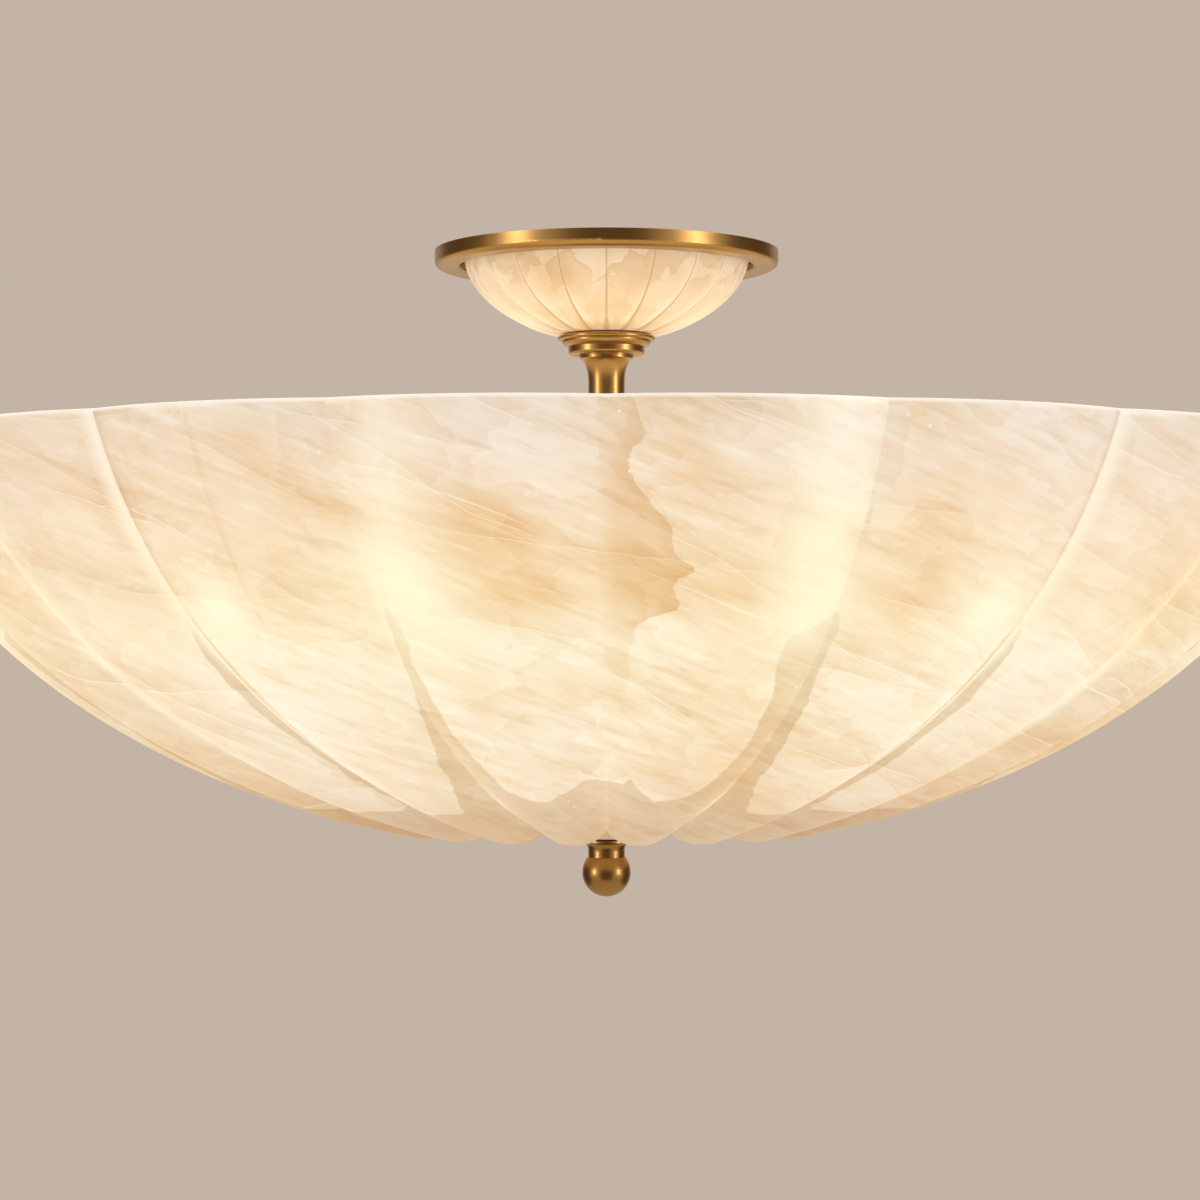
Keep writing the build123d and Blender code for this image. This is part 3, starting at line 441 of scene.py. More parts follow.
# %% Ribs and crown
# Each row is a level, then the rib's reach towards the face's middle and away from it
LEFT_RIB = [
    (-210, 20, 10),
    (-202, 11.3, 7.8),
    (-193, 9.7, 5.7),
    (-180, 6.7, 2.4),
    (-166, 6.2, -0.6),
    (-159, 5.5, -1.1),
    (-153, 8.1, -1.1),
    (-145, 6.0, -2.2),
    (-134, 4.9, -5.2),
]
RIGHT_RIB = [
    (-210, 20, 9.6),
    (-199, 12.8, 6.0),
    (-182, 9.5, 4.9),
    (-170, 10.4, 3.2),
    (-162, 13.4, 2.1),
    (-151, 14.2, 2.3),
    (-147, 4.7, 1.7),
    (-143, -1.2, 1.0),
]
SECOND_LEFT_RIB = [
    (-205, 5.0, 2.0),
    (-189, 5.8, 2.7),
    (-168, 4.6, 4.2),
    (-158, 4.0, 4.6),
    (-148, 2.5, 2.5),
    (-132, -2.0, -2.0),
]
SECOND_RIGHT_RIB = [
    (-205, 5.0, 3.0),
    (-183, 4.8, 3.6),
    (-174, 4.3, 4.8),
    (-158, 3.5, 4.0),
    (-148, 2.0, 2.0),
    (-134, -2.0, -2.0),
]
THIRD_RIB = [
    (-205, 5.5, 0.5),
    (-178, 6.0, 0.5),
    (-165, 5.0, 0.3),
    (-150, -2.0, -2.0),
]
# The crown's places across a face and their levels, in millimetres
CROWN_ACROSS = [-32, -26, -20, -16, -12, -7, 0, 6.5, 8.7, 10, 16, 21, 31]
CROWN_LEVEL = [-205, -206, -207, -203, -202, -198, -199, -200, -197, -201, -206, -205.5, -205]
# Half the crown's width and the blend beside it are in degrees, the level beside it in mm
CROWN_HALF = 14
CROWN_BLEND = 6
HUB_LEVEL = -212.4
HUB_STEEPNESS = 1.5


def rib_depth(rows, height, off_groove):
    """How far a point is inside a rib whose two reaches vary with the height, in metres."""
    levels, inner, outer = np.array(sorted(rows)).T / 1000
    inside = np.interp(height, levels, inner) + off_groove
    return np.minimum(inside, np.interp(height, levels, outer) - off_groove)


def hub_depth(across, side, height):
    """How far a point is below the crown in mid-face, or below a level line beside it."""
    crown = np.interp(across * 1000, CROWN_ACROSS, CROWN_LEVEL)
    beside = np.clip((side - CROWN_HALF) / CROWN_BLEND, 0, 1)
    edge = (crown + (HUB_LEVEL - crown) * beside) / 1000
    return (edge - height) * HUB_STEEPNESS


print("the crown's highest and lowest levels:", max(CROWN_LEVEL), min(CROWN_LEVEL))

# %% [markdown]
# The front face also has what only its own stone shows: a honey-coloured patch with a
# ragged right edge beside the middle groove, and broad clouds of paler and warmer stone.

# %% The front patch and the clouds
# Each row is a level and the patch's right edge at that level, in millimetres
PATCH_EDGE = [
    (-200, 1),
    (-185, 4),
    (-174, 6),
    (-153, 7.7),
    (-146.5, 9.9),
    (-143.8, 17.8),
    (-142.3, 22.5),
    (-137, 20.4),
    (-133, 21.5),
    (-132.5, 26.2),
    (-130, 26.9),
    (-125.5, 20.6),
    (-118.4, 20.6),
    (-115, 17.3),
    (-110.7, 12.6),
    (-106, 9.4),
    (-97.3, 6.1),
    (-95, 7.8),
    (-91.3, 11.3),
    (-86, 9.3),
    (-79, 7),
]
# The patch starts softly on its left, in metres, and is held to the front, in degrees
PATCH_LEFT = -0.004
PATCH_FADE = 0.007
PATCH_LIMIT = 28
# The patch's strength at some levels: full in the middle, fading up to the rim and down
PATCH_HELD = [(-0.19, 0.0), (-0.152, 0.35), (-0.146, 1.0), (-0.1, 1.0), (-0.085, 0.6)]
# Each row is an angle, a level, a width in degrees, a height in metres and a tone
CLOUDS = [
    (-11, -0.095, 5, 0.018, -0.9),
    (-4, -0.100, 3, 0.020, -0.5),
    (31, -0.086, 5, 0.016, -0.9),
    (20.5, -0.087, 2, 0.012, 0.9),
    (-38, -0.090, 7, 0.020, -0.6),
    (41, -0.120, 5, 0.035, -0.4),
    (-9, -0.122, 5, 0.014, 0.9),
    (-5, -0.141, 4, 0.007, 1.2),
    (-26, -0.100, 4, 0.014, 0.7),
    (-26, -0.126, 5, 0.016, 0.7),
    (23, -0.118, 3, 0.022, 0.9),
    (25, -0.137, 4, 0.010, 0.7),
    (10, -0.140, 3, 0.012, 0.5),
    (-37, -0.130, 4, 0.03, 0.5),
]


def front_patch(radius, front, height):
    """Depth inside the patch's ragged right edge, in metres, and its soft start on the left."""
    levels, edges = np.array(PATCH_EDGE).T / 1000
    across = np.where(np.abs(front) < PATCH_LIMIT, radius * np.sin(np.radians(front)), 1.0)
    right = np.interp(height, levels, edges) - across
    held = np.interp(height, *zip(*PATCH_HELD))
    return np.clip(right, -0.05, 0.05), held * np.clip((across - PATCH_LEFT) / PATCH_FADE, 0, 1)


def cloud_tone(front, height):
    """Sum of soft bells, each at an angle and level, paler below 0 and warmer above."""
    tone = np.zeros(np.broadcast(front, height).shape)
    for angle, level, width, tall, amount in CLOUDS:
        tone += amount * bell(front - angle, width) * bell(height - level, tall)
    return tone


print("clouds placed:", len(CLOUDS))


# %% [markdown]
# Two more functions collect these numbers for any point, so that the outside and the
# pockets behind it agree.

# %% The lamps' own light
def lamp_glow(face, folded, height):
    """Share of the lamps' own light: spots, streaks up to the rim, and two side spots in front.

    A spot is a bell in angle times a bell in height. A streak is a bell in angle alone, and
    the larger of the two counts, plus about a third of the smaller.
    """
    side = np.abs(face)
    in_front = np.abs(folded) < FACE_HALF
    above = np.clip((height - SPOT_LEVEL) / (large["rim"] - SPOT_LEVEL), 0, 1)
    spot = bell(side - SPOT_ANGLE, SPOT_WIDTH) * bell(height - SPOT_LEVEL, SPOT_TALL)
    started = np.clip((height + 0.15) / 0.025, 0, 1)
    right_share = np.where(side > FIRST_GROOVE, 0.2, 0.85)
    right = bell(side - SPOT_ANGLE + 0.3 * above, RIGHT_STREAK_WIDTH) * right_share
    left = bell(side - SPOT_ANGLE + 1.2 * above, LEFT_STREAK_WIDTH) * (0.65 - 0.2 * above)
    streak = started * np.where(face > 0, right, left)
    side_spot = bell(side - SIDE_SPOT_ANGLE, SIDE_SPOT_WIDTH)
    side_spot *= bell(height - SIDE_SPOT_LEVEL, SIDE_SPOT_TALL) * np.where(in_front, 0.9, 0.18)
    total = np.maximum(spot, streak) + 0.35 * np.minimum(spot, streak) + side_spot
    return np.clip(total, 0, 1) * np.where(in_front, 1.0, 0.5)


# %% All the fields of the large bowl
def large_fields(radius, angle, height):
    """Numbers that the large bowl's finish reads: glow, rib depth, grooves, patch and clouds.

    Grooves are counted from the middle of a face or of the front. The distance from the
    nearest one is r sin(angle from it), positive on its far side.
    """
    face, folded, front = from_front(angle)
    side = np.abs(face)
    pitch = 360 / large["flutes"]
    near_face = np.round(side / pitch)
    near_front = np.round(np.abs(folded) / pitch)
    off_face = radius * np.sin(np.radians(side - near_face * pitch))
    off_front = radius * np.sin(np.radians(np.abs(folded) - near_front * pitch))
    off_groove = np.where(near_face == 2, off_front, off_face)
    first_left = rib_depth(LEFT_RIB, height, off_face)
    first_right = rib_depth(RIGHT_RIB, height, off_face)
    first = np.where(face < 0, first_left, first_right)
    second_left = rib_depth(SECOND_LEFT_RIB, height, off_front)
    second_right = rib_depth(SECOND_RIGHT_RIB, height, off_front)
    second = np.where(folded < 0, second_left, second_right)
    third = rib_depth(THIRD_RIB, height, off_front)
    outer_rib = np.where(near_front == 2, second, third)
    rib = np.where(near_face == 0, -0.05, np.where(near_face == 1, first, outer_rib))
    hub = hub_depth(radius * np.sin(np.radians(face)), side, height)
    patch, patch_fade = front_patch(radius, front, height)
    # Where the grooves get a painted highlight line, and beside them a painted light band
    low_line = np.clip((-0.198 - height) / 0.01, 0, 1)
    outer_line = np.where(near_front == 2, 1.0, np.clip((-0.13 - height) / 0.03, 0, 1))
    line = np.where(near_face == 1, low_line, np.where(near_face == 2, 0.8 * outer_line, 0.0))
    wide = np.interp(height, [-0.172, -0.155, -0.135, -0.12], [0.0, 0.0035, 0.005, 0.006])
    band = np.clip((wide - off_groove) / 0.004, 0, 1) * (off_groove > 0) * (near_front == 2)
    strip = np.clip((0.004 - off_groove) / 0.002, 0, 1) * (off_groove > 0) * (near_front == 3)
    strip *= bell(height + 0.172, 0.025)
    return {
        "glow": lamp_glow(face, folded, height),
        "rib": smooth_max(rib, hub, 0.005),
        "groove": off_groove,
        "line": line,
        "band": np.maximum(band, 0.6 * strip),
        "second": (near_front == 2).astype(float),
        "patch": patch,
        "patch_fade": patch_fade,
        "tone": cloud_tone(front, height),
        "grains": bell(front + 24, 7) * bell(height + 0.093, 0.014),
        "pale": bell(side - FACE_HALF, 13),
        "dim": np.clip((np.abs(folded) - 38) / 25, 0, 1) * np.clip((-0.135 - height) / 0.035, 0, 1),
    }


# %% [markdown]
# Now the blocks of rows are stacked in one grid. The inner wall is first pushed outwards
# between the ribs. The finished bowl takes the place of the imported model's plain one, and
# rides on the body that comes down off the rod.

# %% Pockets behind the stone
POCKET_DEPTH = 0.0018
POCKET_EDGE = 0.006
RIM_KEPT = 0.004
RIM_BLEND = 0.02
inner_fields = large_fields(inside_r, inside_angle, inside_z)
pocket = np.clip(-inner_fields["rib"] / POCKET_EDGE, 0, 1) * (inside_r > floor_start)
near_rim = np.clip((large["rim"] - RIM_KEPT - inside_z) / RIM_BLEND, 0, 1)
hollow = POCKET_DEPTH * (3 - 2 * pocket) * pocket**2 * near_rim
inside_rows = (inside_r + hollow, inside_angle, inside_z - 0.4 * hollow)
print("pockets are hollowed by up to", round(hollow.max() * 1000, 2), "mm")


# %% Build the large bowl
def paint(piece, fields):
    """Stores numbers at a piece's points, which its finish reads as attributes."""
    for name, values in fields.items():
        layer = piece.data.attributes.new(name, "FLOAT", "POINT")
        layer.data.foreach_set("value", np.asarray(values, np.float32).ravel())


rim_r, rim_z = rim_rows(outer_radius[0], wall_r[-1], large["rim"], EDGE, 5)
over_rim = radial_rows(rim_r[1:], rim_z[1:], rim_angle)

outside = (outer_radius, outer_angle, outer_height)
blocks = [outside, lip_rows, hub_rows, inside_rows, over_rim]
bowl_r, bowl_angle, bowl_z = (np.concatenate([block[i] for block in blocks]) for i in range(3))
fluted_bowl = grid_mesh("fluted_bowl", bowl_r, bowl_angle, bowl_z, outer_radius.shape[0])
paint(fluted_bowl, large_fields(bowl_r, bowl_angle, bowl_z))
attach(fluted_bowl, "bowl")
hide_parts("alabaster_bowl")

# %% [markdown]
# ## The canopy bowl
# The small bowl is made the same way, with a flat foot on the collar and an elliptical
# inside. The same functions serve both bowls, because only their sizes differ.

# %% Build the canopy bowl
CANOPY_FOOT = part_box("canopy_bowl")[0].z
CANOPY_HOLE = 0.00516
CANOPY_FLOOR = CANOPY_FOOT + 0.0046
CANOPY_EDGE = 0.0006
CANOPY_ROWS = 90
CANOPY_INNER_ROWS = 30


def above_foot(radius, height):
    """How far a point is above the canopy's flat foot, at any radius."""
    return height - CANOPY_FOOT


canopy_skin = outer_skin(small, above_foot, CANOPY_ROWS, CANOPY_EDGE)
canopy_angle = canopy_skin[1][-1]
foot_r = canopy_skin[0][-1]
near_hole = foot_r[None] * 0.75 + CANOPY_HOLE * 0.25
under_r = np.concatenate([near_hole, np.full((2, foot_r.size), CANOPY_HOLE)])
under_z = np.array([[CANOPY_FOOT], [CANOPY_FOOT], [CANOPY_FLOOR]])
canopy_inner_axis = small["semi_axis"] - small["wall"]
canopy_inner_depth = small["depth"] - small["wall"]
canopy_turns = np.arccos(
    (small["centre"] - np.array([CANOPY_FLOOR, small["rim"] - CANOPY_EDGE])) / canopy_inner_depth
)
canopy_turn = np.linspace(*canopy_turns, CANOPY_INNER_ROWS)[:, None]
canopy_wall_r = canopy_inner_axis * np.sin(canopy_turn)
canopy_wall_z = small["centre"] - canopy_inner_depth * np.cos(canopy_turn)
canopy_inner = radial_rows(canopy_wall_r + 0 * canopy_angle, canopy_wall_z, canopy_angle)
canopy_rim = rim_rows(canopy_skin[0][0], canopy_wall_r[-1], small["rim"], CANOPY_EDGE, 4)
blocks = [
    canopy_skin,
    radial_rows(under_r, under_z, canopy_angle),
    canopy_inner,
    radial_rows(canopy_rim[0][1:], canopy_rim[1][1:], canopy_skin[1][0]),
]
small_r, small_angle, small_z = (np.concatenate([block[i] for block in blocks]) for i in range(3))
fluted_canopy = grid_mesh("fluted_canopy", small_r, small_angle, small_z, canopy_skin[0].shape[0])


def small_fields(radius, angle, height):
    """Distance from the nearest groove, and from 0 to 1 how low and how far aside a point is."""
    pitch = 2 * np.pi / small["flutes"]
    off_groove = radius * np.sin((angle - FRONT + pitch / 2) % pitch - pitch / 2)
    low = np.clip((small["rim"] - height) / (small["rim"] - CANOPY_FOOT), 0, 1)
    return {"groove": off_groove, "low": low, "side": np.abs(np.sin(angle - FRONT)) ** 2}


paint(fluted_canopy, small_fields(small_r, small_angle, small_z))
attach(fluted_canopy, "frame")
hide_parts("canopy_bowl")

# %% [markdown]
# ## Alabaster
# The stone is milky. It grew in layers, which are cut at a slope, so soft clouds, fine
# streaks and long thin cracks all run down to the right. The lamps shine through it, so
# most of its brightness is its own light. A picture of stone could be wrapped on, but
# noises have no seams, and their sizes can be given in millimetres. We lay one tone over
# another, each where a noise or a painted number says, as a glaze is laid over a ground.
# In each Map Range node, inputs 1 and 2 are the two values where its share is 0 and 1: the
# closer they are, the crisper the edge.

# %% Tools of the stone
LAYER_SLOPE = -21.0
SOFT = {"interpolation_type": "SMOOTHSTEP"}


def slanted(tree, place, slope, squeeze):
    """The place turned about Y and squeezed along Z, so a noise in it lies in sloping layers."""
    turn = {"Vector": place, "Angle": np.radians(slope)}
    turned = add_node(tree, "VectorRotate", turn, rotation_type="Y_AXIS")
    return add_node(tree, "Mapping", {"Vector": turned, "Scale": (1.0, 0.8, squeeze)})


def lay(tree, stone, shares, strength, colour, blend="MIX"):
    """Lays a colour over the stone at a strength, where all the shares are high."""
    amount = strength
    for share in shares:
        amount = add_node(tree, "Math", {0: share, 1: amount}, operation="MULTIPLY")
    tones = {0: amount, 6: stone, 7: linear(colour) if isinstance(colour, str) else colour}
    return add_node(tree, "Mix", tones, 2, data_type="RGBA", blend_type=blend)


# %% [markdown]
# The ground is a soft noise between pale and honey stone. A second noise goes through a
# saw-toothed ramp: each tooth darkens slowly and ends in a crisp edge, like thin flakes
# of clear stone over one another.

# %% Ground, flakes and fine layers
CLOUD_MM = 70.0
FLAKE_MM = 52.0
LAYER_MM = 30.0


def stone_ground(tree, place):
    """Clouds of pale and honey stone under thin flakes and fine layers."""
    broad = slanted(tree, place, LAYER_SLOPE, 2.0)
    cloud = {"Vector": broad, "Scale": 1000 / CLOUD_MM, "Detail": 7.0, "Roughness": 0.55}
    cloud = add_node(tree, "TexNoise", cloud)
    tone = add_node(tree, "Attribute", output="Fac", attribute_name="tone")
    toned = add_node(tree, "Math", {0: tone, 1: 0.13, 2: cloud}, operation="MULTIPLY_ADD")
    tones = [(0.32, linear("#F6ECE0")), (0.5, linear("#F4E5D0")), (0.7, linear("#EFD5AF"))]
    stone = add_node(tree, "ValToRGB", {"Fac": toned}, stops=tones)
    flake = {"Vector": slanted(tree, place, -12.0, 1.6), "Scale": 1000 / FLAKE_MM, "Detail": 4.0}
    flake = add_node(tree, "TexNoise", flake)
    teeth = [(0.3, 0.0), (0.44, 1.0), (0.442, 0.0), (0.56, 1.0), (0.562, 0.0), (0.7, 1.0)]
    flake = add_node(tree, "ValToRGB", {"Fac": flake}, stops=teeth)
    stone = lay(tree, stone, [flake], 0.3, "#EFDCC1", "MULTIPLY")
    sloped = slanted(tree, place, LAYER_SLOPE, 9.0)
    fine = {"Vector": sloped, "Scale": 1000 / LAYER_MM, "Detail": 6.0, "Roughness": 0.7}
    fine = add_node(tree, "TexNoise", fine)
    dark_layer = add_node(tree, "MapRange", {0: fine, 1: 0.5, 2: 0.3}, **SOFT)
    pale_layer = add_node(tree, "MapRange", {0: fine, 1: 0.5, 2: 0.7}, **SOFT)
    stone = lay(tree, stone, [dark_layer], 0.5, "#EEDCC4", "MULTIPLY")
    return lay(tree, stone, [pale_layer], 0.45, "#FFF8EC"), fine


# %% [markdown]
# Cracks follow the layers. A saw-toothed wave runs across them, bent by a noise, so its
# steps make long lines that wander a little. Each step is a thin pale line with slightly
# deeper stone under it. Three sets at different slopes cross, each only in some places.

# %% Cracks and crystals
# Each row is a slope, a stretch, a spacing in mm, how far they wander, and a strength
CRACK_SETS = [
    (-21.0, 3.2, 34.0, 9.0, 0.6),
    (-30.0, 2.4, 24.0, 9.0, 0.5),
    (-9.0, 2.0, 29.0, 10.0, 0.5),
]
# A real crack is as thin as a hair, so its line is drawn this wide to show
CRACK_MM = 0.42
# A wave node runs through this many radians in one unit at scale 1
WAVE_RADIANS = 20
CRYSTAL_MM = 8.0
GROUP_MM = 38.5


def stone_cracks(tree, stone, place, slope, stretch, spacing, wander, strength):
    """Long pale cracks a spacing apart in mm, with a soft dark side, held to some places."""
    across = slanted(tree, place, slope, stretch)
    steps = {"Vector": across, "Scale": 2000 * np.pi / (WAVE_RADIANS * spacing * stretch)}
    steps.update({"Distortion": wander, "Detail": 5.0, "Detail Scale": 0.55, "Detail Roughness": 0.5})
    steps["Phase Offset"] = slope
    saw = add_node(tree, "TexWave", steps, "Fac", bands_direction="Z", wave_profile="SAW")
    width = CRACK_MM / spacing
    pale = add_node(tree, "MapRange", {0: saw, 1: width, 2: width * 0.3}, **SOFT)
    deep = add_node(tree, "MapRange", {0: saw, 1: 0.35, 2: width})
    held = add_node(tree, "TexNoise", {"Vector": across, "Scale": 400 / spacing, "Detail": 2.0})
    held = add_node(tree, "MapRange", {0: held, 1: 0.46, 2: 0.58}, **SOFT)
    stone = lay(tree, stone, [deep, held], 0.3, "#EFDFCA", "MULTIPLY")
    return lay(tree, stone, [pale, held], strength, "#FFFCF2")


def stone_crystals(tree, stone, place):
    """Small white crystals in loose groups."""
    cells = {"Vector": place, "Scale": 1000 / CRYSTAL_MM, "Randomness": 1.0}
    speck = add_node(tree, "TexVoronoi", cells, "Distance")
    speck = add_node(tree, "MapRange", {0: speck, 1: 0.075, 2: 0.04}, **SOFT)
    group = add_node(tree, "TexNoise", {"Vector": place, "Scale": 1000 / GROUP_MM, "Detail": 3.0})
    near = add_node(tree, "Attribute", output="Fac", attribute_name="grains")
    group = add_node(tree, "Math", {0: near, 1: 0.2, 2: group}, operation="MULTIPLY_ADD")
    group = add_node(tree, "MapRange", {0: group, 1: 0.53, 2: 0.6}, **SOFT)
    return lay(tree, stone, [speck, group], 0.75, "#FFFEFA")


# %% [markdown]
# The painted numbers are cut into shapes with noises, which fray their edges. A colour
# painted at the points could only be as crisp as the mesh, but a number that is cut in the
# finish keeps a crisp edge at any distance. The distances in these cuts are in metres.

# %% Patch, ribs and grooves
FRAY_MM = 20.0
JAG_MM = 14.0
MOTTLE_MM = 22.2
# Half the width of the painted highlight line in a groove, in metres
LINE_HALF = 0.0007


def stone_patch(tree, stone, place):
    """The honey patch, mottled, with a jagged crisp edge on its right."""
    depth = add_node(tree, "Attribute", output="Fac", attribute_name="patch")
    jagged = {"Vector": place, "Scale": 1000 / JAG_MM, "Detail": 8.0, "Roughness": 0.68}
    jagged = add_node(tree, "TexNoise", jagged)
    cut = add_node(tree, "Math", {0: jagged, 1: 0.008, 2: depth}, operation="MULTIPLY_ADD")
    inside = add_node(tree, "MapRange", {0: cut, 1: 0.0038, 2: 0.0042}, **SOFT)
    deep = add_node(tree, "MapRange", {0: cut, 1: 0.011, 2: 0.0042}, **SOFT)
    fade = add_node(tree, "Attribute", output="Fac", attribute_name="patch_fade")
    mottle = add_node(tree, "TexNoise", {"Vector": place, "Scale": 1000 / MOTTLE_MM, "Detail": 6.0})
    mottle = add_node(tree, "MapRange", {0: mottle, 1: 0.3, 2: 0.62, 3: 0.45, 4: 1.0})
    stone = lay(tree, stone, [inside, fade, mottle], 0.85, "#F1DFC4", "MULTIPLY")
    return lay(tree, stone, [inside, fade, deep], 0.3, "#EFDCC2", "MULTIPLY")


def stone_ribs(tree, stone, fray):
    """Painted shade on the thick ribs and the hub, a little darker, with frayed edges."""
    depth = add_node(tree, "Attribute", output="Fac", attribute_name="rib")
    cut = add_node(tree, "Math", {0: fray, 1: 0.006, 2: depth}, operation="MULTIPLY_ADD")
    inside = add_node(tree, "MapRange", {0: cut, 1: 0.0028, 2: 0.0034}, **SOFT)
    # Painted shade: thick stone lets less of the lamps' light through
    return lay(tree, stone, [inside], 1.0, "#ECE2D4", "MULTIPLY")


def stone_grooves(tree, stone):
    """Painted light at the grooves: a pale band outside the second grooves, painted shade inside, and a thin
    painted highlight.
    """
    off = add_node(tree, "Attribute", output="Fac", attribute_name="groove")
    band = add_node(tree, "Attribute", output="Fac", attribute_name="band")
    outside = add_node(tree, "MapRange", {0: off, 1: 0.0001, 2: 0.0005}, **SOFT)
    # Painted light: a pale band on the outer side of the second grooves
    stone = lay(tree, stone, [band, outside], 0.8, "#FFF8E8")
    second = add_node(tree, "Attribute", output="Fac", attribute_name="second")
    inside = add_node(tree, "MapRange", {0: off, 1: -0.0045, 2: -0.0008}, **SOFT)
    near = add_node(tree, "MapRange", {0: off, 1: 0.0, 2: -0.0003}, **SOFT)
    # Painted shade on the inner side of the second grooves
    stone = lay(tree, stone, [inside, near, second], 0.6, "#EFE2D2", "MULTIPLY")
    distance = add_node(tree, "Math", {0: off}, operation="ABSOLUTE")
    line = add_node(tree, "MapRange", {0: distance, 1: LINE_HALF, 2: 0.0001}, **SOFT)
    shown = add_node(tree, "Attribute", output="Fac", attribute_name="line")
    # Painted highlight: a thin bright line down the groove
    return lay(tree, stone, [line, shown], 0.8, "#FFFBF0")


# %% [markdown]
# The light that comes through is dimmer and greyer near the rim, strongest a third of the
# way up, and dim again over the hub. The spots are nearly white with a breath of yellow,
# and wash out the stone's own pattern. Each row below is a level and the share of light
# that passes there, written as a colour.

# %% Finish of the large bowl
HUB_BOTTOM = -0.2187
DRIFT_MM = 41.7
SPOT_LIGHT = "#EFEFD0"
RIM_LIGHT = "#ECE8D7"
LIGHT_BY_LEVEL = [
    (-0.2187, "#D6D0C4"),
    (-0.205, "#E7E6DF"),
    (-0.190, "#EDEFE7"),
    (-0.172, "#F2F7F0"),
    (-0.158, "#F3FAF2"),
    (-0.148, "#F1F3E5"),
    (-0.137, "#ECE7D3"),
    (-0.115, "#EAE7DD"),
    (-0.095, "#E3E3E2"),
    (-0.080, "#DBDDDF"),
]


def large_stone():
    """Milky lit alabaster, carved and polished to a soft gloss, which gives faint broad shine."""
    material, tree, shader = new_material("alabaster_large")
    place = add_node(tree, "TexCoord", output="Object")
    stone, layers = stone_ground(tree, place)
    # Painted sheen: paler stone where the lobes turn away, midway between the faces
    pale = add_node(tree, "Attribute", output="Fac", attribute_name="pale")
    stone = lay(tree, stone, [pale], 0.3, "#F4E9DD")
    dim = add_node(tree, "Attribute", output="Fac", attribute_name="dim")
    stone = lay(tree, stone, [dim], 0.85, "#EADCCB", "MULTIPLY")
    for crack_set in CRACK_SETS:
        stone = stone_cracks(tree, stone, place, *crack_set)
    fray = {"Vector": place, "Scale": 1000 / FRAY_MM, "Detail": 6.0, "Roughness": 0.6}
    fray = add_node(tree, "TexNoise", fray)
    stone = stone_patch(tree, stone, place)
    stone = stone_ribs(tree, stone, fray)
    stone = stone_grooves(tree, stone)
    stone = stone_crystals(tree, stone, place)
    height = add_node(tree, "SeparateXYZ", {0: place}, 2)
    # Painted highlight: a thin bright line along the rounded rim
    rim_line = {0: height, 1: large["rim"] - 0.0016, 2: large["rim"] - 0.0006}
    rim_line = add_node(tree, "MapRange", rim_line, **SOFT)
    stone = lay(tree, stone, [rim_line], 0.7, "#FFFAF2")
    level = add_node(tree, "MapRange", {0: height, 1: HUB_BOTTOM, 2: large["rim"]})
    tall = large["rim"] - HUB_BOTTOM
    stops = [((z - HUB_BOTTOM) / tall, linear(colour)) for z, colour in LIGHT_BY_LEVEL]
    light = add_node(tree, "ValToRGB", {"Fac": level}, stops=stops)
    lit = lay(tree, stone, [], 1.0, light, "MULTIPLY")
    glow = add_node(tree, "Attribute", output="Fac", attribute_name="glow")
    sloped = slanted(tree, place, LAYER_SLOPE, 2.0)
    drift = add_node(tree, "TexNoise", {"Vector": sloped, "Scale": 1000 / DRIFT_MM, "Detail": 4.0})
    drift = add_node(tree, "MapRange", {0: drift, 1: 0.3, 2: 0.6, 3: 0.7, 4: 1.05})
    high = add_node(tree, "MapRange", {0: height, 1: -0.13, 2: -0.085}, **SOFT)
    lamp_light = lay(tree, linear(SPOT_LIGHT), [high], 1.0, RIM_LIGHT)
    lit = lay(tree, lit, [glow, drift], 0.9, lamp_light)
    bumps = add_node(tree, "Bump", {"Height": layers, "Strength": 0.06, "Distance": 0.001})
    finish = {
        "Base Color": lay(tree, stone, [], 1.0, "#9C958C", "MULTIPLY"),
        "Emission Color": lit,
        "Emission Strength": 1.0,
        "Roughness": 0.34,
        "Normal": bumps,
    }
    connect(tree, shader, finish)
    return material


fluted_bowl.data.materials.append(large_stone())
print("nodes in the large bowl's stone:", len(fluted_bowl.data.materials[0].node_tree.nodes))

# %% [markdown]
# The canopy is polished more, so it shows small bright reflections, which a clear coat
# over the stone gives. The pale lines beside its grooves are painted reflections, and the
# dark lines in them painted shade. Its wall is thin, and the light gathers low in it.
# Thicker stone makes clear honey patches near its rim.

# %% Finish of the canopy
CANOPY_CLOUD_MM = 25.0
CLEAR_PATCH_MM = 17.2
# Half the width of the painted shade in a groove, in metres, and what it gains towards the foot
CREASE_HALF = 0.00042
CREASE_GAIN = 0.0016


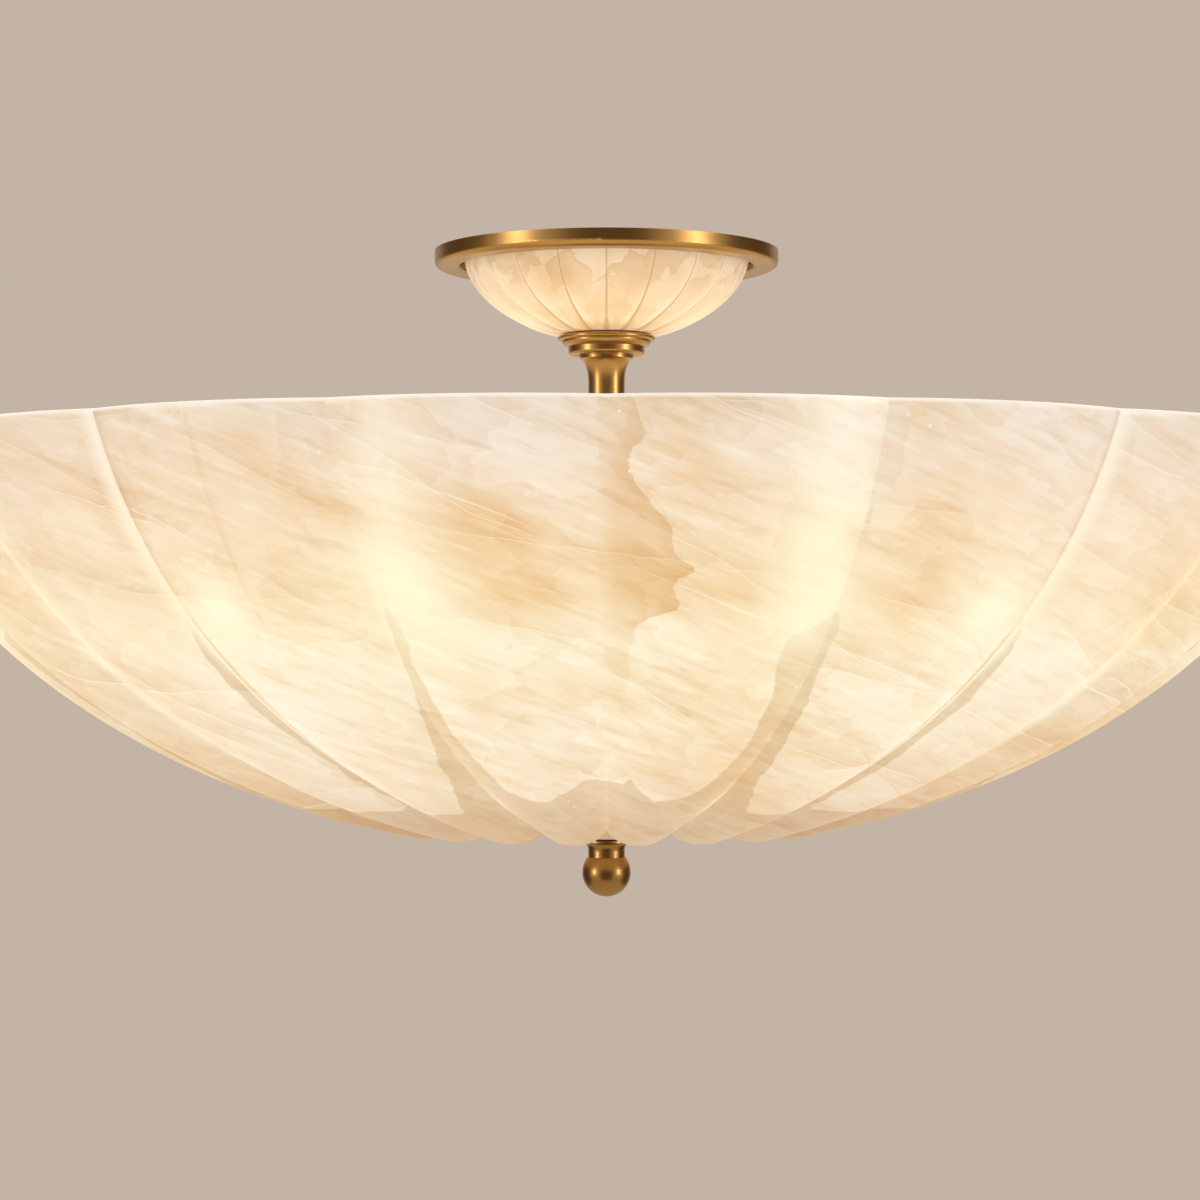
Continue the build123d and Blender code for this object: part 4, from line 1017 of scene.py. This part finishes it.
def small_stone():
    """Polished alabaster: warm low down, with clear patches, painted reflections on the groove edges and
    painted shade in the grooves.
    """
    material, tree, shader = new_material("alabaster_small")
    place = add_node(tree, "TexCoord", output="Object")
    low = add_node(tree, "Attribute", output="Fac", attribute_name="low")
    cloud = {"Vector": place, "Scale": 1000 / CANOPY_CLOUD_MM, "Detail": 5.0, "Distortion": 0.5}
    cloud = add_node(tree, "TexNoise", cloud)
    tones = [(0.32, linear("#FBF3E8")), (0.5, linear("#F7E9D4")), (0.7, linear("#F0DABA"))]
    stone = add_node(tree, "ValToRGB", {"Fac": cloud}, stops=tones)
    across = slanted(tree, place, 35.0, 1.5)
    patch = {"Vector": across, "Scale": 1000 / CLEAR_PATCH_MM, "Detail": 4.0, "Distortion": 0.7}
    patch = add_node(tree, "TexNoise", patch)
    clear = [(0.5, 0.0), (0.512, 1.0), (0.6, 0.6), (0.8, 1.0)]
    inside = add_node(tree, "ValToRGB", {"Fac": patch}, stops=clear)
    high = add_node(tree, "MapRange", {0: low, 1: 0.8, 2: 0.25}, **SOFT)
    stone = lay(tree, stone, [inside, high], 0.6, "#E2C9A6", "MULTIPLY")
    # Painted sheen: the stone is paler towards the sides
    side = add_node(tree, "Attribute", output="Fac", attribute_name="side")
    stone = lay(tree, stone, [side], 0.45, "#F8F0E9")
    distance = add_node(tree, "Attribute", output="Fac", attribute_name="groove")
    distance = add_node(tree, "Math", {0: distance}, operation="ABSOLUTE")
    # Painted reflections: pale lines beside the grooves, strongest towards the sides
    edge = add_node(tree, "MapRange", {0: distance, 1: 0.0013, 2: 0.0006}, **SOFT)
    stone = lay(tree, stone, [edge, side], 0.9, "#FFFDF8")
    # Painted shade down the groove creases, widening towards the foot
    deep = add_node(tree, "Math", {0: low, 1: 5.0}, operation="POWER")
    deep = add_node(tree, "Math", {0: deep, 1: CREASE_GAIN, 2: CREASE_HALF}, operation="MULTIPLY_ADD")
    groove_shade = add_node(tree, "MapRange", {0: distance, 1: deep, 2: 0.0001}, **SOFT)
    stone = lay(tree, stone, [groove_shade], 0.6, "#C39A6A")
    foot = add_node(tree, "MapRange", {0: low, 1: 0.88, 2: 1.0}, **SOFT)
    stone = lay(tree, stone, [foot], 0.35, "#C89A64")
    levels = [(0.0, linear("#C6BBAD")), (0.45, linear("#DFCDB0")), (0.85, linear("#FBEAC8"))]
    light = add_node(tree, "ValToRGB", {"Fac": low}, stops=levels)
    finish = {
        "Base Color": lay(tree, stone, [], 1.0, "#B5ADA2", "MULTIPLY"),
        "Emission Color": lay(tree, stone, [], 1.0, light, "MULTIPLY"),
        "Emission Strength": 0.75,
        "Roughness": 0.14,
        "Coat Weight": 0.5,
        "Coat Roughness": 0.04,
    }
    connect(tree, shader, finish)
    return material


fluted_canopy.data.materials.append(small_stone())
print("nodes in the canopy's stone:", len(fluted_canopy.data.materials[0].node_tree.nodes))

# %% [markdown]
# ## Metals
# The brass is turned on a lathe, lightly brushed and a little browned with age. That gives
# the eye broad soft highlights between brown darks. Anisotropy could blur the highlights
# along the turning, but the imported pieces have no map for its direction, so fine rings in
# a bump do it here. The hidden metals are zinc-plated steel, grey and dull, bare brass,
# and copper. The rod's thread is a wave bump, drawn at its pitch.

# %% Metal finish
PATINA_MM = 30.0
WEAR_MM = 7.1
# Real turning rings are a tenth of a millimetre apart, too fine for a picture, so they are coarser
TURNING_MM = 0.35


def metal(name, colour, dull, roughness, pitch=None, rings=0.12, aged=0.35):
    """Metal that dulls in soft patches, with fine turning rings or, given a pitch, a thread."""
    material, tree, shader = new_material(name)
    place = add_node(tree, "TexCoord", output="Object")
    patina = {"Vector": place, "Scale": 1000 / PATINA_MM, "Detail": 4.0, "Distortion": 0.3}
    share = add_node(tree, "MapRange", {0: add_node(tree, "TexNoise", patina), 1: 0.4, 2: 0.75}, **SOFT)
    wear = add_node(tree, "TexNoise", {"Vector": place, "Scale": 1000 / WEAR_MM, "Detail": 3.0})
    rough = {0: wear, 3: roughness * 0.88, 4: roughness * 1.15}
    if pitch:
        wave = {"Vector": place, "Scale": 2 * np.pi / (WAVE_RADIANS * pitch)}
        relief = {"Height": add_node(tree, "TexWave", wave, "Fac", bands_direction="Z")}
        relief.update(Distance=pitch * 0.5, Strength=1.0)
    else:
        squeezed = add_node(tree, "Mapping", {"Vector": place, "Scale": (4.0, 4.0, 1000 / TURNING_MM / 3)})
        relief = {"Height": add_node(tree, "TexNoise", {"Vector": squeezed, "Scale": 3.0})}
        relief.update(Distance=0.0002, Strength=rings)
    finish = {
        "Base Color": lay(tree, linear(colour), [share], aged, dull),
        "Metallic": 1.0,
        "Roughness": add_node(tree, "MapRange", rough),
        "Normal": add_node(tree, "Bump", relief),
    }
    connect(tree, shader, finish)
    return material


# %% [markdown]
# ## Plastics, ceramic, felt and glass
# The small hidden pieces share one finish: a colour that drifts a little, a roughness and
# a grain. Felt and rubber are dull, moulded plastic is smoother, and glazed ceramic has
# the clearest shine. Fibres, mould marks and ripples in a glaze are about a tenth of a
# millimetre, too fine for a picture, so their grain is drawn coarser.

# %% Plain finish
def plain(name, colour, drift, roughness, grain, depth):
    """A dull or glossy finish whose colour drifts to a second one, over a grain in mm."""
    material, tree, shader = new_material(name)
    place = add_node(tree, "TexCoord", output="Object")
    share = add_node(tree, "TexNoise", {"Vector": place, "Scale": 120 / grain, "Detail": 4.0})
    fine = add_node(tree, "TexNoise", {"Vector": place, "Scale": 1000 / grain, "Detail": 3.0})
    finish = {
        "Base Color": lay(tree, linear(colour), [share], 1.0, drift),
        "Roughness": roughness,
        "Normal": add_node(tree, "Bump", {"Height": fine, "Distance": depth, "Strength": 0.5}),
    }
    connect(tree, shader, finish)
    return material


# %% [markdown]
# The lamps' frosted glass is lit from inside. Glass with a filament behind it could be
# rendered, but etched glass hides what is in it, so a plain glow looks the same.

# %% Lamp glass
# An etched grain is a few hundredths of a millimetre, so it is drawn much coarser to show
FROST_MM = 3.85
LAMP_CLOUD_MM = 33.0


def lamp_glass():
    """Frosted glass lit from inside, with an etched grain and a faint drift of its light."""
    material, tree, shader = new_material("frosted_glass")
    place = add_node(tree, "TexCoord", output="Object")
    frost = add_node(tree, "TexNoise", {"Vector": place, "Scale": 1000 / FROST_MM, "Detail": 3.0})
    cloud = add_node(tree, "TexNoise", {"Vector": place, "Scale": 1000 / LAMP_CLOUD_MM, "Detail": 3.0})
    finish = {
        "Base Color": lay(tree, linear("#8F8A82"), [frost], 1.0, "#9A958D"),
        "Emission Color": lay(tree, linear("#FFEBC8"), [cloud], 1.0, "#FFDFAC"),
        "Emission Strength": 0.68,
        "Roughness": 0.4,
        "Normal": add_node(tree, "Bump", {"Height": frost, "Distance": 0.0002, "Strength": 0.4}),
    }
    connect(tree, shader, finish)
    return material


# %% [markdown]
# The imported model's record gives each piece a material slot, and this table gives each
# slot its finish: two colours, a roughness and, for the plain ones, a grain in millimetres.

# %% Finishes by material slot
finishes = {
    # Turned brass, brushed satin and browned: broad gold highlights that fall off to brown
    "aged_brass": metal("aged_brass", "#B8935A", "#80602F", 0.3, rings=0.03, aged=0.3),
    # Bare drawn brass: yellower, with tighter highlights
    "brass_plain": metal("brass_plain", "#E0B562", "#A87A38", 0.28, aged=0.2),
    # Pressed steel plated with zinc: a cold grey sheen
    "zinc_steel": metal("zinc_steel", "#C9CCCF", "#9A9488", 0.34),
    # Steel dyed green over its plating: dark green that still shines like metal
    "green_steel": metal("green_steel", "#2F8A4A", "#1D5A30", 0.4),
    # Rolled steel thread: fine bright and dark turns
    "steel_thread": metal("steel_thread", "#BDBAB0", "#7E776A", 0.35, pitch=0.0014),
    # Drawn nickelled cap: pale and bright, blurred by handling
    "lamp_cap_metal": metal("lamp_cap_metal", "#D8D4CB", "#A8A090", 0.3),
    # Bare copper wire: a warm pink gleam
    "bare_copper": metal("bare_copper", "#D98A5E", "#8C4A2C", 0.3),
    # Pressed wool felt: dark and quite without shine
    "felt": plain("felt", "#3A3733", "#2A2825", 0.95, 0.55, 0.0003),
    # Moulded rubber: black with a faint soft sheen
    "rubber": plain("rubber", "#1B1B1B", "#262524", 0.7, 1.1, 0.0001),
    # Extruded insulation, black and white: smooth and a little waxy
    "black_insulation": plain("black_insulation", "#151515", "#20201F", 0.45, 1.4, 0.0001),
    "white_insulation": plain("white_insulation", "#E6E2D8", "#D6D0C2", 0.45, 1.4, 0.0001),
    # Moulded plastic of the twist-on connectors and the splice block: half dull
    "connector_plastic": plain("connector_plastic", "#D9772B", "#C4651F", 0.5, 1.7, 0.0002),
    "splice_plastic": plain("splice_plastic", "#E4DFD2", "#D2CBBA", 0.5, 2.0, 0.0001),
    # Glazed ceramic: creamy white with a clear soft shine
    "socket_ceramic": plain("socket_ceramic", "#EDE8DC", "#DED6C5", 0.4, 2.5, 0.0001),
    # Etched glass over a lit lamp: an even warm glow without a hard edge
    "frosted_glass": lamp_glass(),
}
slots = {entry["node"]: entry["material_slot"] for entry in frame["record"]["subparts"]}
replaced = {"alabaster_bowl", "canopy_bowl"}
for name, part in parts.items():
    if name in replaced:
        continue
    part.data.materials.clear()
    part.data.materials.append(finishes[slots[name]])
print("finishes:", len(finishes), "on pieces:", len(parts) - len(replaced))

# %% [markdown]
# ## Light and surroundings
# The studio is plain. A pale world gives soft even light, and two upright soft boxes at the
# sides draw the highlights on the brass. A third box behind and above lights the back.
# Dim cards round the light, which only polished surfaces see, give the brass its darker
# parts. A picture of a room round the scene could do all this at once, but lamps and cards
# can be moved one by one. A disc far below is the floor.

# %% Floor and world
FLOOR_LEVEL = -2.4
FLOOR_RADIUS = 9.0
FLOOR_SIDES = 96
FLOOR_LIFT = 0.3
BACKDROP = "#C3B4A5"


def seen_directly(tree, strength):
    """The strength for rays from the camera, from mirrors and through glass, and 0 for others."""
    total = 0.0
    for ray in ("Is Camera Ray", "Is Glossy Ray", "Is Transmission Ray"):
        is_ray = add_node(tree, "LightPath", output=ray)
        total = add_node(tree, "Math", {0: total, 1: is_ray}, operation="MAXIMUM")
    return add_node(tree, "Math", {0: total, 1: strength}, operation="MULTIPLY")


turn = np.linspace(0, 2 * np.pi, FLOOR_SIDES + 1)[:-1]
floor_ring = [FLOOR_RADIUS * np.cos(turn), FLOOR_RADIUS * np.sin(turn), turn * 0 + FLOOR_LEVEL]
floor_points = np.stack(floor_ring, axis=1)
floor_mesh = bpy.data.meshes.new("floor")
floor_mesh.from_pydata(floor_points.tolist(), [], [list(range(len(turn)))])
floor = bpy.data.objects.new("floor", floor_mesh)
bpy.context.scene.collection.objects.link(floor)
floor_material, floor_tree, floor_shader = new_material("floor")
floor_finish = {
    "Base Color": linear(BACKDROP),
    "Roughness": 0.9,
    "Specular IOR Level": 0.0,
    "Emission Color": linear(BACKDROP),
    "Emission Strength": seen_directly(floor_tree, FLOOR_LIFT),
}
connect(floor_tree, floor_shader, floor_finish)
floor_mesh.materials.append(floor_material)

world = bpy.data.worlds.new("studio")
world.use_nodes = True
bpy.context.scene.world = world
sky = world.node_tree
sky.nodes.clear()
soft_light = add_node(sky, "Background", {"Color": linear("#FFFAF3"), "Strength": 0.72})
shown = add_node(sky, "Background", {"Color": linear(BACKDROP), "Strength": 1.0})
both = add_node(sky, "MixShader", {0: seen_directly(sky, 1.0), 1: soft_light, 2: shown})
sky_output = sky.nodes.new("ShaderNodeOutputWorld")
connect(sky, sky_output, {0: both})
print("the floor is", -FLOOR_LEVEL, "m below the ceiling")

# %% Soft boxes
BOX_TARGET = (0, 0, -0.1)
SIDE_BOX = (0.36, 0.9)
BACK_BOX = (2.0, 1.0)


def soft_box(name, place, size, power, colour="#FFF6EA"):
    """A rectangular lamp at a place, with a power in watts, turned to face the light."""
    data = bpy.data.lights.new(name, "AREA")
    data.shape = "RECTANGLE"
    data.size, data.size_y = size
    data.energy = power
    data.color = linear(colour)[:3]
    lamp = bpy.data.objects.new(name, data)
    lamp.location = place
    aim = Vector(BOX_TARGET) - lamp.location
    lamp.rotation_euler = aim.to_track_quat("-Z", "Y").to_euler()
    bpy.context.scene.collection.objects.link(lamp)


soft_box("left_box", (-1.75, -1.0, 0.0), SIDE_BOX, 8)
soft_box("right_box", (1.75, -1.0, 0.0), SIDE_BOX, 8)
soft_box("back_box", (0, 2.0, 1.0), BACK_BOX, 12)

# %% Dim cards
CARD_DISTANCE = 2.2
CARD_WIDTH = 2.4
CARD_LOW = -1.8
CARD_HIGH = 1.2
CARD_COLOUR = "#6B5B4A"


def dim_card(name, angle):
    """A dim card that only polished surfaces see, upright at an angle from the front."""
    turn = FRONT + np.radians(angle)
    middle = CARD_DISTANCE * np.array([np.cos(turn), np.sin(turn)])
    across = CARD_WIDTH / 2 * np.array([-np.sin(turn), np.cos(turn)])
    ends = ((-1, CARD_LOW), (1, CARD_LOW), (1, CARD_HIGH), (-1, CARD_HIGH))
    corners = [(*(middle + side * across), level) for side, level in ends]
    mesh = bpy.data.meshes.new(name)
    mesh.from_pydata(corners, [], [(0, 1, 2, 3)])
    card = bpy.data.objects.new(name, mesh)
    bpy.context.scene.collection.objects.link(card)
    material, _, shader = new_material(name)
    connect(material.node_tree, shader, {"Base Color": linear(CARD_COLOUR), "Roughness": 1.0})
    mesh.materials.append(material)
    for kind in ("camera", "diffuse", "shadow", "transmission", "volume_scatter"):
        setattr(card, f"visible_{kind}", False)


for card_name, card_angle in (("front_card", 0), ("left_card", -112), ("right_card", 112)):
    dim_card(card_name, card_angle)
bpy.context.scene.view_settings.view_transform = "Standard"
